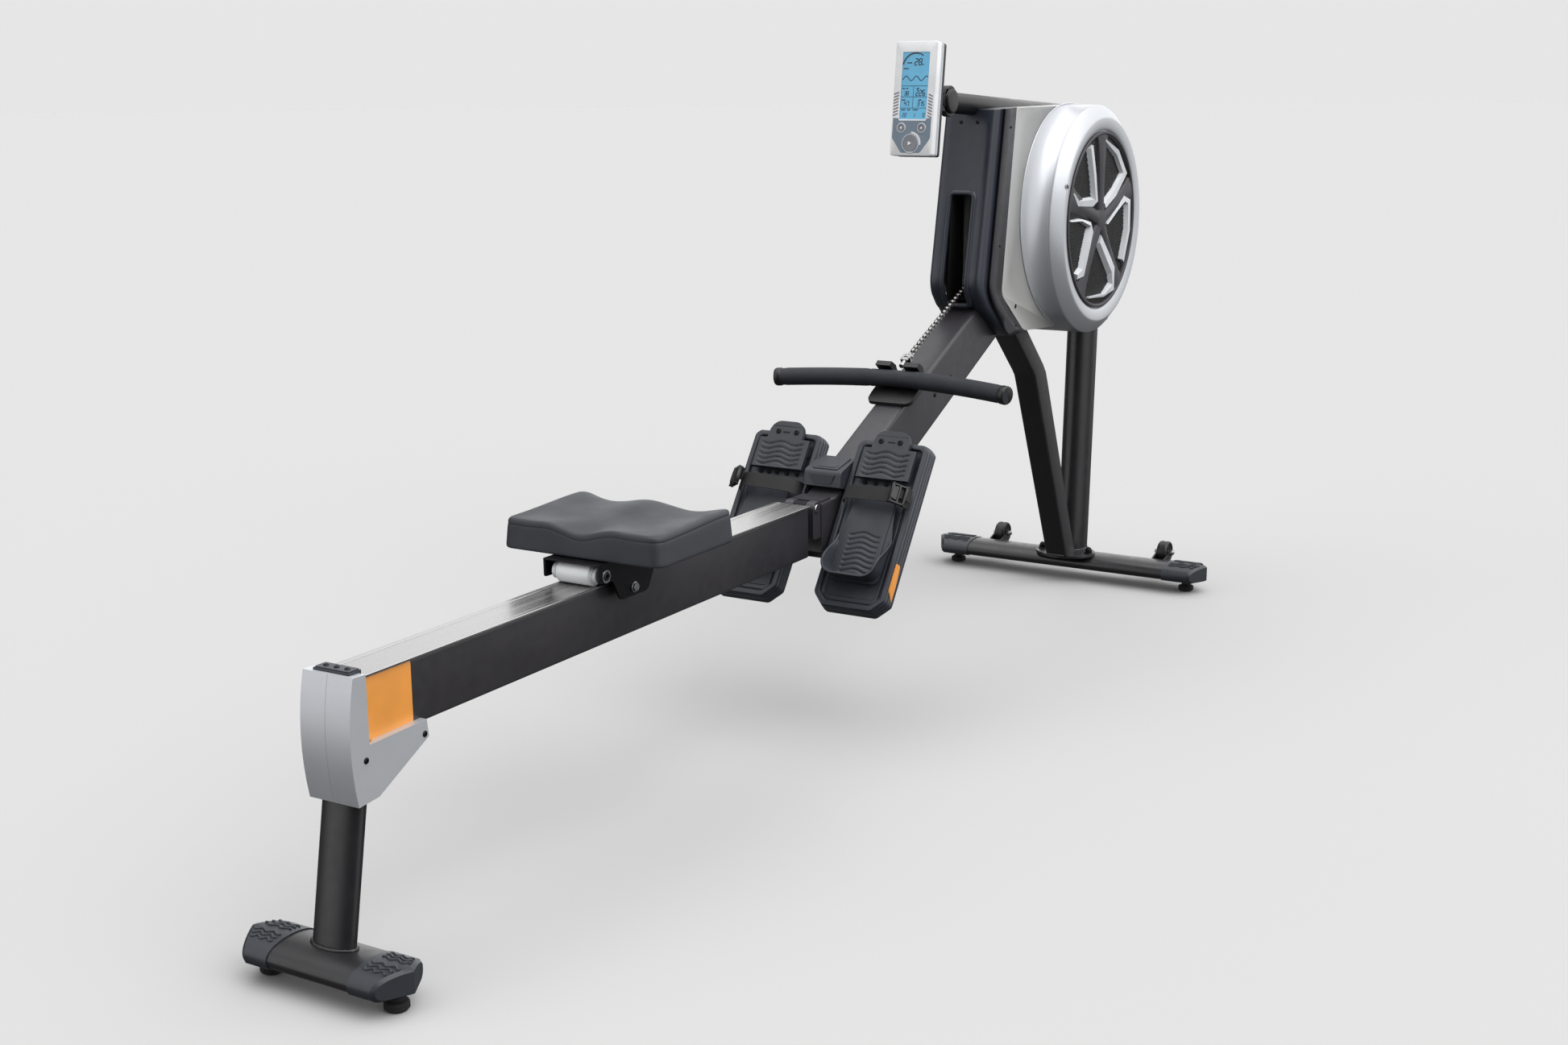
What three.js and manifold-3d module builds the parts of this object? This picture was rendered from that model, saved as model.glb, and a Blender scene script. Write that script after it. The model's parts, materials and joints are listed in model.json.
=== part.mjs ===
// Air rowing machine with a folding slide rail, as separate solids. Millimetres, +Z up.
// +X points forward, from the rear foot to the flywheel; +Y is the rower's left.
import * as THREE from 'three';
import { mergeVertices } from 'three/addons/utils/BufferGeometryUtils.js';
import Module from 'manifold-3d';

const wasm = await Module();
wasm.setup();

// ---------------------------------------------------------------- driving dimensions
const GAP = 0.3; // between faces that rest on each other

// Stations: X forward from the rear foot, Z up from the floor.
const FOOT = { rearX: 0, frontX: 2308, halfWidth: 44, bottom: 26, top: 57, wall: 2.5 };
const REAR_FOOT = { half: 132, cap: 66, padY: 102 };
const FRONT_FOOT = { half: 314, cap: 86, padY: 269 };
const WHEEL = { x: 2380, y: 193, z: 60, radius: 24, halfWidth: 11 };
const PAD = { radius: 16, neck: 9, height: 12 };

const RAIL = { rear: 28, front: 1112, bottom: 304, top: 390, half: 29, wall: 3 };
const TRACK = { rear: 50.5, half: 33, thick: 3 };
const HINGE = { x: 1142, z: 382, pin: 5, lug: 11, near: 12.5, far: 28, lugLow: 330, lockZ: 346, lockPin: 5 };
const POST = { footX: -4.1, halfX: 14.5, halfY: 33.5, wall: 2.5, lean: 10.3 };

const BEAM = { rear: 1156, bendX: 1205, angle: 25.54, depth: 99.3, half: 30, wall: 3, endX: 1895 };
const DRUM = { x: 2152, z: 792, radius: 228, ring: 204, opening: 177, bevelY: 100, faceY: 119 };
const COVER = { flatY: 60, wall: 4 };
const SHROUD = {
  halfY: 63, noseY: 54, noseDepth: 27, flange: 33, tilt: 11.6, skin: 3.4, web: 12, channel: 2.5, channelY: 36,
  slotY: 21,
};
const ROTOR = { radius: 172, axle: 10, back: 24, front: 95, blades: 11 };
const SPROCKET = { teeth: 32, pitch: 12.7 };

const BOARD = { x: 1190, z: 355, y: 103, angle: 55, half: 150, halfWidth: 65, depth: 29, draft: 4 };
const SEAT = { x: 588, roller: 16, wheelbase: 67, base: 429 };
const PAD_TOP = { x: 622, halfLength: 100, halfWidth: 138, rim: 470, hump: 486 };
const HANDLE = { x: 1479, z: 552, radius: 16, half: 233, sweep: 31, drop: 9 };
const CHAIN = { x: 1535, z: 588, angle: 24, halfWidth: 4.5, halfHeight: 4.5, endX: 1800 };
const BOOM = { radius: 19, crossRadius: 21.5, x: 1620, z: 1036, slope: 3.4, frontX: 2230, crossHalf: 40 };
const MONITOR = { x: 1541, z: 1042, tilt: 7.6, half: 41, halfHeight: 99.5, depth: 36 };

const REAR_END = FOOT.rearX - FOOT.halfWidth;
const FRONT_END = WHEEL.x + WHEEL.radius;
const CENTRE_X = (REAR_END + FRONT_END) / 2;

const rad = THREE.MathUtils.degToRad;
const beamSlope = Math.tan(rad(BEAM.angle));
const beamTop = (x) => RAIL.top + (x - BEAM.bendX) * beamSlope;
const chainSlope = Math.tan(rad(CHAIN.angle));

// ---------------------------------------------------------------- finishes
const finish = (colour, roughness, metalness) =>
  new THREE.MeshStandardMaterial({ color: colour, roughness, metalness });
const FRAME_PAINT = finish(0x3a3b40, 0.45, 0.3);
const DARK_PLASTIC = finish(0x3c4148, 0.6, 0);
const BLACK_PLASTIC = finish(0x1e1f22, 0.6, 0);
const SILVER_PLASTIC = finish(0xb4b9c2, 0.4, 0.3);
const WHITE_PLASTIC = finish(0xe6e8ea, 0.35, 0);
const RUBBER = finish(0x151516, 0.85, 0);
const GRIP_FOAM = finish(0x33363c, 0.8, 0);
const SEAT_FOAM = finish(0x2e3036, 0.75, 0);
const STAINLESS = finish(0xc4c4c2, 0.25, 1);
const STEEL = finish(0x9a9ca0, 0.35, 1);
const WEBBING = finish(0x1c1c1e, 0.9, 0);
const LCD = finish(0x4fb0dc, 0.2, 0);
const BUTTON_GREY = finish(0x70757d, 0.5, 0);

// ---------------------------------------------------------------- shape helpers
const machine = new THREE.Group();
machine.position.x = -CENTRE_X;

const outline = (points) => new THREE.Shape(points.map(([x, y]) => new THREE.Vector2(x, y)));

/** A polygon whose corners are rounded by one radius. */
function rounded(points, radius) {
  const shape = new THREE.Shape();
  const count = points.length;
  points.forEach((corner, i) => {
    const here = new THREE.Vector2(...corner);
    const before = new THREE.Vector2(...points.at(i - 1)).sub(here).setLength(radius);
    const after = new THREE.Vector2(...points[(i + 1) % count]).sub(here).setLength(radius);
    const from = before.add(here);
    const to = after.add(here);
    if (i === 0) shape.moveTo(from.x, from.y);
    else shape.lineTo(from.x, from.y);
    shape.quadraticCurveTo(here.x, here.y, to.x, to.y);
  });
  return shape;
}

const AXES = {
  xz: [[1, 0, 0], [0, 0, 1], [0, -1, 0]],
  yz: [[0, 1, 0], [0, 0, 1], [1, 0, 0]],
  xy: [[1, 0, 0], [0, 1, 0], [0, 0, 1]],
};

/** Extrudes a shape drawn in one plane through the range low to high of the third axis. */
function slab(plane, shape, low, high, curveSegments = 4) {
  const depth = high - low;
  const geometry = new THREE.ExtrudeGeometry(shape, { depth, bevelEnabled: false, curveSegments });
  const [right, up, out] = AXES[plane].map((axis) => new THREE.Vector3(...axis));
  geometry.applyMatrix4(new THREE.Matrix4().makeBasis(right, up, out));
  return geometry.translate(...out.clone().multiplyScalar(plane === 'xz' ? -high : low).toArray());
}

function block(x0, x1, y0, y1, z0, z1) {
  const geometry = new THREE.BoxGeometry(x1 - x0, y1 - y0, z1 - z0);
  return geometry.translate((x0 + x1) / 2, (y0 + y1) / 2, (z0 + z1) / 2);
}

/** Turns a geometry whose axis is +Y onto the line between two points, its middle at theirs. */
function along(geometry, from, to) {
  const start = new THREE.Vector3(...from);
  const end = new THREE.Vector3(...to);
  const turn = new THREE.Quaternion().setFromUnitVectors(
    new THREE.Vector3(0, 1, 0), end.clone().sub(start).normalize());
  const middle = start.add(end).multiplyScalar(0.5);
  return geometry.applyQuaternion(turn).translate(middle.x, middle.y, middle.z);
}

function rod(radius, from, to, sides = 24) {
  const length = new THREE.Vector3(...from).distanceTo(new THREE.Vector3(...to));
  return along(new THREE.CylinderGeometry(radius, radius, length, sides), from, to);
}

/** A closed profile of [radius, height] pairs turned about the Z axis. */
const turned = (profile, sides = 24) =>
  new THREE.LatheGeometry(profile.map(([r, h]) => new THREE.Vector2(r, h)), sides).rotateX(Math.PI / 2);

/** A closed profile of [radius, y] pairs turned about the Y axis. */
const turnedY = (profile, sides = 24) =>
  new THREE.LatheGeometry(profile.map(([r, h]) => new THREE.Vector2(r, h)), sides);

function signedVolume(positions, triangles) {
  const corners = [new THREE.Vector3(), new THREE.Vector3(), new THREE.Vector3()];
  let volume = 0;
  for (let i = 0; i < triangles.length; i += 3) {
    corners.forEach((corner, k) => corner.fromArray(positions, 3 * triangles[i + k]));
    volume += corners[0].dot(corners[1].cross(corners[2])) / 6;
  }
  return volume;
}

/** A manifold solid from a closed geometry, its faces turned outward. */
function solid(shape) {
  if (shape instanceof wasm.Manifold) return shape;
  const geometry = shape.clone();
  geometry.deleteAttribute('normal');
  geometry.deleteAttribute('uv');
  const merged = mergeVertices(geometry, 1e-3);
  const positions = merged.attributes.position.array;
  const index = merged.index.array;
  const triangles = [];
  for (let i = 0; i < index.length; i += 3) {
    const [a, b, c] = index.subarray(i, i + 3);
    if (a !== b && b !== c && c !== a) triangles.push(a, b, c);
  }
  if (signedVolume(positions, triangles) < 0) triangles.reverse();
  return new wasm.Manifold(new wasm.Mesh({
    numProp: 3, vertProperties: new Float32Array(positions), triVerts: new Uint32Array(triangles) }));
}

const join = (...shapes) => shapes.map(solid).reduce((whole, piece) => whole.add(piece));
const cut = (shape, ...tools) => tools.map(solid).reduce((whole, tool) => whole.subtract(tool), solid(shape));
const common = (...shapes) => shapes.map(solid).reduce((whole, piece) => whole.intersect(piece));

/** Adds one named sub-part to a group. */
function part(name, shape, material, group = machine) {
  const mesh = solid(shape).getMesh();
  const geometry = new THREE.BufferGeometry();
  geometry.setAttribute('position', new THREE.BufferAttribute(new Float32Array(mesh.vertProperties), 3));
  geometry.setIndex(new THREE.BufferAttribute(new Uint32Array(mesh.triVerts), 1));
  geometry.computeVertexNormals();
  const piece = new THREE.Mesh(geometry, material);
  piece.name = name;
  group.add(piece);
}

const SIDES = [['left', 1], ['right', -1]];
const mirrored = (side, low, high) => (side > 0 ? [low, high] : [-high, -low]);

/** A slab in the X-Z plane on one side of the machine, from near to far of its centre plane. */
const sideSlab = (side, shape, near, far, curve) => slab('xz', shape, ...mirrored(side, near, far), curve);
const sideBlock = (side, x0, x1, near, far, z0, z1) => block(x0, x1, ...mirrored(side, near, far), z0, z1);

// ---------------------------------------------------------------- floor bars
/** The arched section of a floor bar, inset evenly, in the X-Z plane. */
function barSection(x, inset) {
  const half = FOOT.halfWidth - inset;
  const low = FOOT.bottom + inset;
  const shoulder = FOOT.bottom + 13;
  const shape = new THREE.Shape();
  shape.moveTo(x - half + 14, low);
  shape.lineTo(x + half - 14, low);
  shape.quadraticCurveTo(x + half, low, x + half, shoulder);
  shape.bezierCurveTo(x + half, FOOT.top - 8 - inset, x + half * 0.6, FOOT.top - inset, x, FOOT.top - inset);
  shape.bezierCurveTo(x - half * 0.6, FOOT.top - inset, x - half, FOOT.top - 8 - inset, x - half, shoulder);
  shape.quadraticCurveTo(x - half, low, x - half + 14, low);
  return shape;
}

function barTube(x, reach) {
  const outer = slab('xz', barSection(x, 0), -reach, reach, 5);
  const inner = slab('xz', barSection(x, FOOT.wall), -reach - 1, reach + 1, 5);
  return cut(outer, inner);
}

/** An end cap with a two-faced end, thicker than the tube that it covers by a lip. */
function barCap(x, side, near, far) {
  const body = sideSlab(side, barSection(x, -1.5), near, far, 5);
  const half = FOOT.halfWidth + 4;
  const plan = outline([
    [x - half, side * (near - 1)], [x + half, side * (near - 1)], [x + half, side * (far - 26)],
    [x, side * far], [x - half, side * (far - 26)]]);
  return common(body, slab('xy', plan, 0, 200));
}

/** A rubber levelling foot on its threaded neck. */
const levellingFoot = (x, y) => turned([
  [0, 0], [PAD.radius - 2, 0], [PAD.radius, 3], [PAD.radius, PAD.height - 2], [PAD.radius - 2, PAD.height],
  [PAD.neck, PAD.height], [PAD.neck, FOOT.bottom - 1.5 - GAP], [0, FOOT.bottom - 1.5 - GAP]], 20)
  .translate(x, y, 0);

const wheelLug = (side, y) => sideSlab(side, outline([
  [FOOT.frontX + 30, 34], [WHEEL.x + 6, WHEEL.z - 7], [WHEEL.x + 6, WHEEL.z + 6], [FOOT.frontX + 30, 52]]),
  y - 1.5, y + 1.5);

function floorBars() {
  const rearReach = REAR_FOOT.half - REAR_FOOT.cap - GAP;
  part('rear_foot_tube', barTube(FOOT.rearX, rearReach), FRAME_PAINT);
  const lugs = SIDES.flatMap(([, side]) => [
    wheelLug(side, WHEEL.y - WHEEL.halfWidth - 2.5), wheelLug(side, WHEEL.y + WHEEL.halfWidth + 2.5),
    rod(4, [WHEEL.x, side * (WHEEL.y - 15), WHEEL.z], [WHEEL.x, side * (WHEEL.y + 15), WHEEL.z], 12)]);
  const hollow = slab('xz', barSection(FOOT.frontX, FOOT.wall), -400, 400, 5);
  const reach = FRONT_FOOT.half - FRONT_FOOT.cap - GAP;
  const bar = join(slab('xz', barSection(FOOT.frontX, 0), -reach, reach, 5), ...lugs);
  part('front_foot_tube', cut(bar, hollow), FRAME_PAINT);
  for (const [label, side] of SIDES) {
    const rearNear = REAR_FOOT.half - REAR_FOOT.cap;
    part(`rear_foot_cap_${label}`, barCap(FOOT.rearX, side, rearNear, REAR_FOOT.half), DARK_PLASTIC);
    const frontNear = FRONT_FOOT.half - FRONT_FOOT.cap;
    part(`front_foot_cap_${label}`, barCap(FOOT.frontX, side, frontNear, FRONT_FOOT.half), DARK_PLASTIC);
    part(`levelling_foot_rear_${label}`, levellingFoot(FOOT.rearX, side * REAR_FOOT.padY), RUBBER);
    part(`levelling_foot_front_${label}`, levellingFoot(FOOT.frontX, side * FRONT_FOOT.padY), RUBBER);
    const wheel = turnedY([
      [4.4, -WHEEL.halfWidth], [WHEEL.radius - 3, -WHEEL.halfWidth], [WHEEL.radius, -WHEEL.halfWidth + 4],
      [WHEEL.radius, WHEEL.halfWidth - 4], [WHEEL.radius - 3, WHEEL.halfWidth], [4.4, WHEEL.halfWidth],
      [4.4, -WHEEL.halfWidth]], 24);
    part(`transport_wheel_${label}`, wheel.translate(WHEEL.x, side * WHEEL.y, WHEEL.z), DARK_PLASTIC);
  }
}

// ---------------------------------------------------------------- slide rail and rear leg
const HOUSING = { halfY: 40, skin: 3, notchX: 45, shelfZ: 309 };

/** Side view of the rear housing, inset evenly. */
function housingSide(inset) {
  const shape = new THREE.Shape();
  shape.moveTo(23 + inset, 398 - inset);
  shape.lineTo(HOUSING.notchX - inset, 397 - inset);
  shape.lineTo(HOUSING.notchX - inset, HOUSING.shelfZ - inset);
  shape.lineTo(148 - inset, HOUSING.shelfZ + 2 - inset);
  shape.lineTo(151 - inset, 288 + inset);
  shape.lineTo(57 - inset, 239 + inset);
  shape.lineTo(21 + inset, 236 + inset);
  shape.quadraticCurveTo(3 + inset, 320, 23 + inset, 398 - inset);
  return shape;
}

/** An ellipse about one point, its half axes grown by more. */
function ellipse(x, halfX, halfY, more = 0) {
  const shape = new THREE.Shape();
  shape.absellipse(x, 0, halfX + more, halfY + more, 0, 2 * Math.PI);
  return shape;
}

/** The leaning oval of the rear post, grown by more. */
const rearStand = (more, low, high) => slab('xy', ellipse(0, POST.halfX, POST.halfY, more), low, high, 8)
  .rotateY(rad(POST.lean)).translate(POST.footX, 0, 0);

function railAndRearLeg() {
  const railShell = cut(
    block(RAIL.rear, RAIL.front, -RAIL.half, RAIL.half, RAIL.bottom, RAIL.top),
    block(RAIL.rear - 1, RAIL.front + 1, -RAIL.half + RAIL.wall, RAIL.half - RAIL.wall,
      RAIL.bottom + RAIL.wall, RAIL.top - RAIL.wall));
  part('slide_rail', railShell, FRAME_PAINT);
  const trackZ = RAIL.top + GAP;
  const track = block(TRACK.rear, RAIL.front, -TRACK.half, TRACK.half, trackZ, trackZ + TRACK.thick);
  part('rail_track', track, STAINLESS);

  const post = common(
    cut(rearStand(0, 30, 340), rearStand(-POST.wall, 20, 350),
      slab('xz', barSection(FOOT.rearX, -GAP), -100, 100, 5)),
    block(-100, 200, -50, 50, 40, RAIL.bottom - GAP));
  part('rear_post', post, FRAME_PAINT);

  const endBlock = block(RAIL.rear, TRACK.rear - GAP, -RAIL.half + GAP, RAIL.half - GAP, trackZ, 402);
  part('rear_top_block', endBlock, DARK_PLASTIC);

  for (const [label, side] of SIDES) {
    const { halfY, skin } = HOUSING;
    const shell = cut(
      sideSlab(side, housingSide(0), GAP / 2, halfY, 8),
      sideSlab(side, housingSide(skin), 0, halfY - skin, 8),
      block(RAIL.rear - GAP, 400, -RAIL.half - GAP, RAIL.half + GAP, RAIL.bottom - 1, 500),
      rearStand(GAP, 150, 400));
    part(`rear_housing_${label}`, shell, SILVER_PLASTIC);
  }

  // Rail half of the hinge: a plug that closes the rail end and one central lug.
  const plugZ = RAIL.wall + GAP;
  const plugY = RAIL.half - RAIL.wall - GAP;
  const plug = block(RAIL.front - 30, RAIL.front + 4, -plugY, plugY, RAIL.bottom + plugZ, RAIL.top - plugZ);
  const lug = join(
    rod(HINGE.lug, [HINGE.x, -12, HINGE.z], [HINGE.x, 12, HINGE.z]),
    block(RAIL.front, HINGE.x, -12, 12, HINGE.z - HINGE.lug, RAIL.top - plugZ),
    block(RAIL.front, HINGE.x + HINGE.lug, -12, 12, HINGE.lugLow, HINGE.z));
  const hole = rod(HINGE.pin + GAP, [HINGE.x, -40, HINGE.z], [HINGE.x, 40, HINGE.z], 16);
  const lockHole = rod(HINGE.lockPin + 1, [HINGE.x, -13, HINGE.lockZ], [HINGE.x, 13, HINGE.lockZ], 16);
  part('rail_hinge_bracket', cut(join(plug, lug), hole, lockHole), STEEL);
  part('hinge_pin', rod(HINGE.pin, [HINGE.x, -32, HINGE.z], [HINGE.x, 32, HINGE.z], 16), STAINLESS);
}

// ---------------------------------------------------------------- seat
function seatAssembly() {
  const { x, wheelbase, roller } = SEAT;
  const rollerZ = RAIL.top + 2 * GAP + TRACK.thick + roller;
  const guide = { radius: 9, z: RAIL.top - 10.5, near: RAIL.half + 1.2, far: RAIL.half + 12 };
  const plateZ = SEAT.base - GAP;
  const plateY = 45;
  const sidePlate = outline([
    [x - 84, plateZ - 1], [x - 84, rollerZ - 8], [x - 52, rollerZ - 9], [x - 34, guide.z - 12],
    [x + 34, guide.z - 12], [x + 52, rollerZ - 9], [x + 84, rollerZ - 8], [x + 84, plateZ - 1]]);
  const pieces = [block(x - 84, x + 84, -plateY - 3, plateY + 3, plateZ - 2.5, plateZ)];
  for (const [, side] of SIDES) {
    pieces.push(sideSlab(side, sidePlate, plateY, plateY + 3));
    pieces.push(rod(3.6, [x, side * (guide.near - 0.6), guide.z], [x, side * (plateY + 8), guide.z], 12));
    pieces.push(rod(7, [x, side * (plateY + 2), guide.z], [x, side * (plateY + 8), guide.z], 6));
  }
  for (const offset of [-wheelbase, wheelbase]) {
    pieces.push(rod(6, [x + offset, -plateY - 6, rollerZ], [x + offset, plateY + 6, rollerZ], 16));
  }
  part('seat_carriage', join(...pieces), STEEL);

  const rollerProfile = [
    [6.4, -38], [12, -38], [12, -29], [roller, -28], [roller, 28], [12, 29], [12, 38], [6.4, 38], [6.4, -38]];
  for (const [label, offset] of [['rear', -wheelbase], ['front', wheelbase]]) {
    part(`seat_roller_${label}`, turnedY(rollerProfile, 24).translate(x + offset, 0, rollerZ), WHITE_PLASTIC);
  }
  for (const [label, side] of SIDES) {
    const [low, high] = mirrored(side, guide.near, guide.far);
    const profile = [[3.9, low], [guide.radius, low], [guide.radius, high], [3.9, high], [3.9, low]];
    part(`guide_roller_${label}`, turnedY(profile, 20).translate(x, 0, guide.z), WHITE_PLASTIC);
  }

  const { halfLength, halfWidth, rim, hump } = PAD_TOP;
  const [rear, front] = [PAD_TOP.x - halfLength, PAD_TOP.x + halfLength];
  const plan = rounded([[rear, -halfWidth], [front, -halfWidth], [front, halfWidth], [rear, halfWidth]], 20);
  const across = new THREE.Shape();
  across.moveTo(-halfWidth - 5, SEAT.base);
  across.lineTo(halfWidth + 5, SEAT.base);
  across.lineTo(halfWidth + 5, hump - 8);
  across.quadraticCurveTo(halfWidth * 0.5, rim, 0, hump);
  across.quadraticCurveTo(-halfWidth * 0.5, rim, -halfWidth - 5, hump - 8);
  const lengthwise = new THREE.Shape();
  lengthwise.moveTo(rear - 5, SEAT.base - 5);
  lengthwise.lineTo(front + 5, SEAT.base - 5);
  lengthwise.lineTo(front + 5, rim - 14);
  lengthwise.quadraticCurveTo(front - 50, hump + 8, PAD_TOP.x, hump);
  lengthwise.quadraticCurveTo(rear + 50, rim - 2, rear - 5, rim);
  const cushion = common(slab('xy', plan, SEAT.base, hump + 5, 6),
    slab('yz', across, rear - 10, front + 10, 8), slab('xz', lengthwise, -200, 200, 8));
  part('seat_pad', cushion, SEAT_FOAM);
}

// ---------------------------------------------------------------- main beam and front legs
/** Side view of the main beam, its walls moved in by inset; the two ends move out by overrun. */
function beamSide(inset, overrun) {
  const cosine = Math.cos(rad(BEAM.angle));
  const sine = Math.sin(rad(BEAM.angle));
  const lowBend = BEAM.bendX + (BEAM.depth - (RAIL.top - RAIL.bottom) * cosine) / sine;
  const slopeInset = inset * Math.tan(rad(BEAM.angle) / 2);
  const topEnd = [
    BEAM.endX + overrun * cosine + inset * sine, beamTop(BEAM.endX) + overrun * sine - inset * cosine];
  const depth = BEAM.depth - 2 * inset;
  return outline([
    [BEAM.rear - overrun, RAIL.bottom + inset], [lowBend - slopeInset, RAIL.bottom + inset],
    [topEnd[0] + depth * sine, topEnd[1] - depth * cosine], topEnd,
    [BEAM.bendX + slopeInset, RAIL.top - inset], [BEAM.rear - overrun, RAIL.top - inset]]);
}

function mainBeam() {
  const shell = cut(
    slab('xz', beamSide(0, 0), -BEAM.half, BEAM.half),
    slab('xz', beamSide(BEAM.wall, 5), -BEAM.half + BEAM.wall, BEAM.half - BEAM.wall));
  const pieces = [shell];

  // Frame half of the hinge: a top plate with two lugs either side of the rail's lug.
  pieces.push(block(HINGE.x + HINGE.lug + 1, BEAM.rear + 36, -28, 28, RAIL.top - 1, RAIL.top + 3));
  for (const [, side] of SIDES) {
    const { x, z, lug, near, far, lugLow } = HINGE;
    const [low, high] = mirrored(side, near, far);
    pieces.push(rod(lug, [x, low, z], [x, high, z]));
    pieces.push(sideBlock(side, x, BEAM.rear + 4, near, far, z - lug, RAIL.top + 3));
    pieces.push(sideBlock(side, x - lug, BEAM.rear + 4, near, far, lugLow, z));
  }

  // Cross tube under the beam that carries the two footboards.
  pieces.push(block(1207, 1232, -120, 120, 279, RAIL.bottom + 0.5));

  // Two bearing plates reach from the open end of the beam to the flywheel axle.
  const reach = outline([
    [BEAM.endX - 110, beamTop(BEAM.endX - 110) - 20], [DRUM.x - 10, DRUM.z + 24], [DRUM.x + 22, DRUM.z + 10],
    [DRUM.x + 22, DRUM.z - 14], [DRUM.x, DRUM.z - 26], [BEAM.endX - 60, beamTop(BEAM.endX - 60) - 90]]);
  for (const [, side] of SIDES) {
    pieces.push(sideSlab(side, reach, 10, 14));
    pieces.push(sideBlock(side, BEAM.endX - 70, BEAM.endX - 30, 13, BEAM.half - 2, 632, 656));
  }
  const axleHole = rod(ROTOR.axle + 0.4, [DRUM.x, -40, DRUM.z], [DRUM.x, 40, DRUM.z]);
  const pinHole = rod(HINGE.pin + GAP, [HINGE.x, -40, HINGE.z], [HINGE.x, 40, HINGE.z], 16);
  const lockHole = rod(HINGE.lockPin + 0.4, [HINGE.x, 0, HINGE.lockZ], [HINGE.x, 40, HINGE.lockZ], 16);
  const crossHollow = block(1210, 1229, -121, 121, 282, 301);
  part('main_beam', cut(join(...pieces), axleHole, pinHole, lockHole, crossHollow), FRAME_PAINT);

  // Spring pin that locks the hinge, drawn back so that its nose is just clear of the rail's lug.
  const knob = HINGE.far + 1;
  const lockPin = turnedY([
    [0, HINGE.near], [HINGE.lockPin, HINGE.near], [HINGE.lockPin, knob], [10, knob], [12, knob + 1.5],
    [12, knob + 5.5], [10, knob + 7], [0, knob + 7]], 20);
  part('fold_lock_pin', lockPin.translate(HINGE.x, 0, HINGE.lockZ), BLACK_PLASTIC);

  const lift = (x) => beamTop(x) + 0.6;
  const hood = outline([[1209, 404], [1226, lift(1226)], [1282, lift(1282)], [1266, 446], [1212, 434]]);
  part('nose_cover', slab('xz', hood, -33, 33), DARK_PLASTIC);
}

const FRONT_POST = { footX: 2320.7, lean: 3.15, halfX: 40, halfY: 31, top: 640 };
const POST_PLATE = { x: 2286, halfX: 52, halfY: 66, thick: 4, boltY: 54 };

function frontLegs() {
  const { footX, lean, halfX, halfY } = FRONT_POST;
  const stand = (more, low, high) => slab('xy', ellipse(0, halfX, halfY, more), low, high, 8)
    .rotateY(rad(lean)).translate(footX, 0, 0);
  const room = stand(GAP, -20, 720);
  const barTop = FOOT.top;
  const plate = ellipse(POST_PLATE.x, POST_PLATE.halfX, POST_PLATE.halfY);
  const bolts = SIDES.map(([, side]) => rod(6, [POST_PLATE.x, side * POST_PLATE.boltY, barTop],
    [POST_PLATE.x, side * POST_PLATE.boltY, barTop + 16], 6));
  const floorCut = slab('xz', barSection(FOOT.frontX, -GAP), -100, 100, 5);
  const foot = slab('xy', plate, barTop - 3, barTop + POST_PLATE.thick, 8);
  const post = common(stand(0, 0, 700), block(2100, 2500, -60, 60, barTop, FRONT_POST.top));
  part('front_post', cut(join(post, foot, ...bolts), stand(-POST.wall, -20, 720), floorCut), FRAME_PAINT);

  // The strut rises from the plate to a bend and meets the underside of the beam.
  const strut = outline([
    [2232, 60], [2284, 60], [2107, 478], [2087, 503], [1984, 600], [1940, 600], [1929, 585], [2044, 480]]);
  const inner = outline([
    [2236, 40], [2279, 40], [2102, 476], [2083, 499], [1964, 612], [1924, 620], [1936, 585], [2049, 483]]);
  const beneath = slab('xz', beamSide(-0.4, 5), -40, 40);
  const tube = cut(slab('xz', strut, -24, 24), slab('xz', inner, -21, 21), beneath,
    slab('xy', plate, 0, barTop + POST_PLATE.thick + GAP, 8), room);
  part('front_strut', tube, FRAME_PAINT);
}

// ---------------------------------------------------------------- flywheel housing
const boomZ = (x) => BOOM.z - (x - BOOM.x) * Math.tan(rad(BOOM.slope));
const boomRod = (radius, fromX, toX) =>
  rod(radius, [fromX, 0, boomZ(fromX)], [toX, 0, boomZ(toX)], 24);

const SHROUD_SIDE = [
  [1772, 1018], [1708, 706], [1712, 682], [1736, 655], [1818, 598], [1834, 590], [1900, 592],
  [1829, 637], [1788, 678], [1843, 1021]];

/** The slanted passage of the main beam, with clearance. */
function beamPassage(clearance) {
  const lower = [[1560, 1], [2100, 1], [2100, 0], [1560, 0]].map(([x, isTop]) => {
    const drop = isTop ? 0 : BEAM.depth / Math.cos(rad(BEAM.angle));
    return [x, beamTop(x) - drop + (isTop ? clearance : -clearance)];
  });
  return slab('xz', outline(lower), -BEAM.half - clearance, BEAM.half + clearance);
}

/** The plan of the shroud, a nose between two flanges, drawn up its tilted front, with its walls moved in by inset. */
function shroudPlan(inset) {
  const { halfY, noseY, noseDepth, flange, tilt } = SHROUD;
  const near = noseY - inset;
  const far = halfY - inset;
  const plan = outline([
    [-60, -near + 10], [0, -near + 10], [12, -near], [noseDepth + inset, -near], [flange + inset, -far], [400, -far],
    [400, far], [flange + inset, far], [noseDepth + inset, near], [12, near], [0, near - 10], [-60, near - 10]]);
  return slab('xy', plan, -300, 600).rotateY(rad(tilt)).translate(1708, 0, 706);
}

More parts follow.
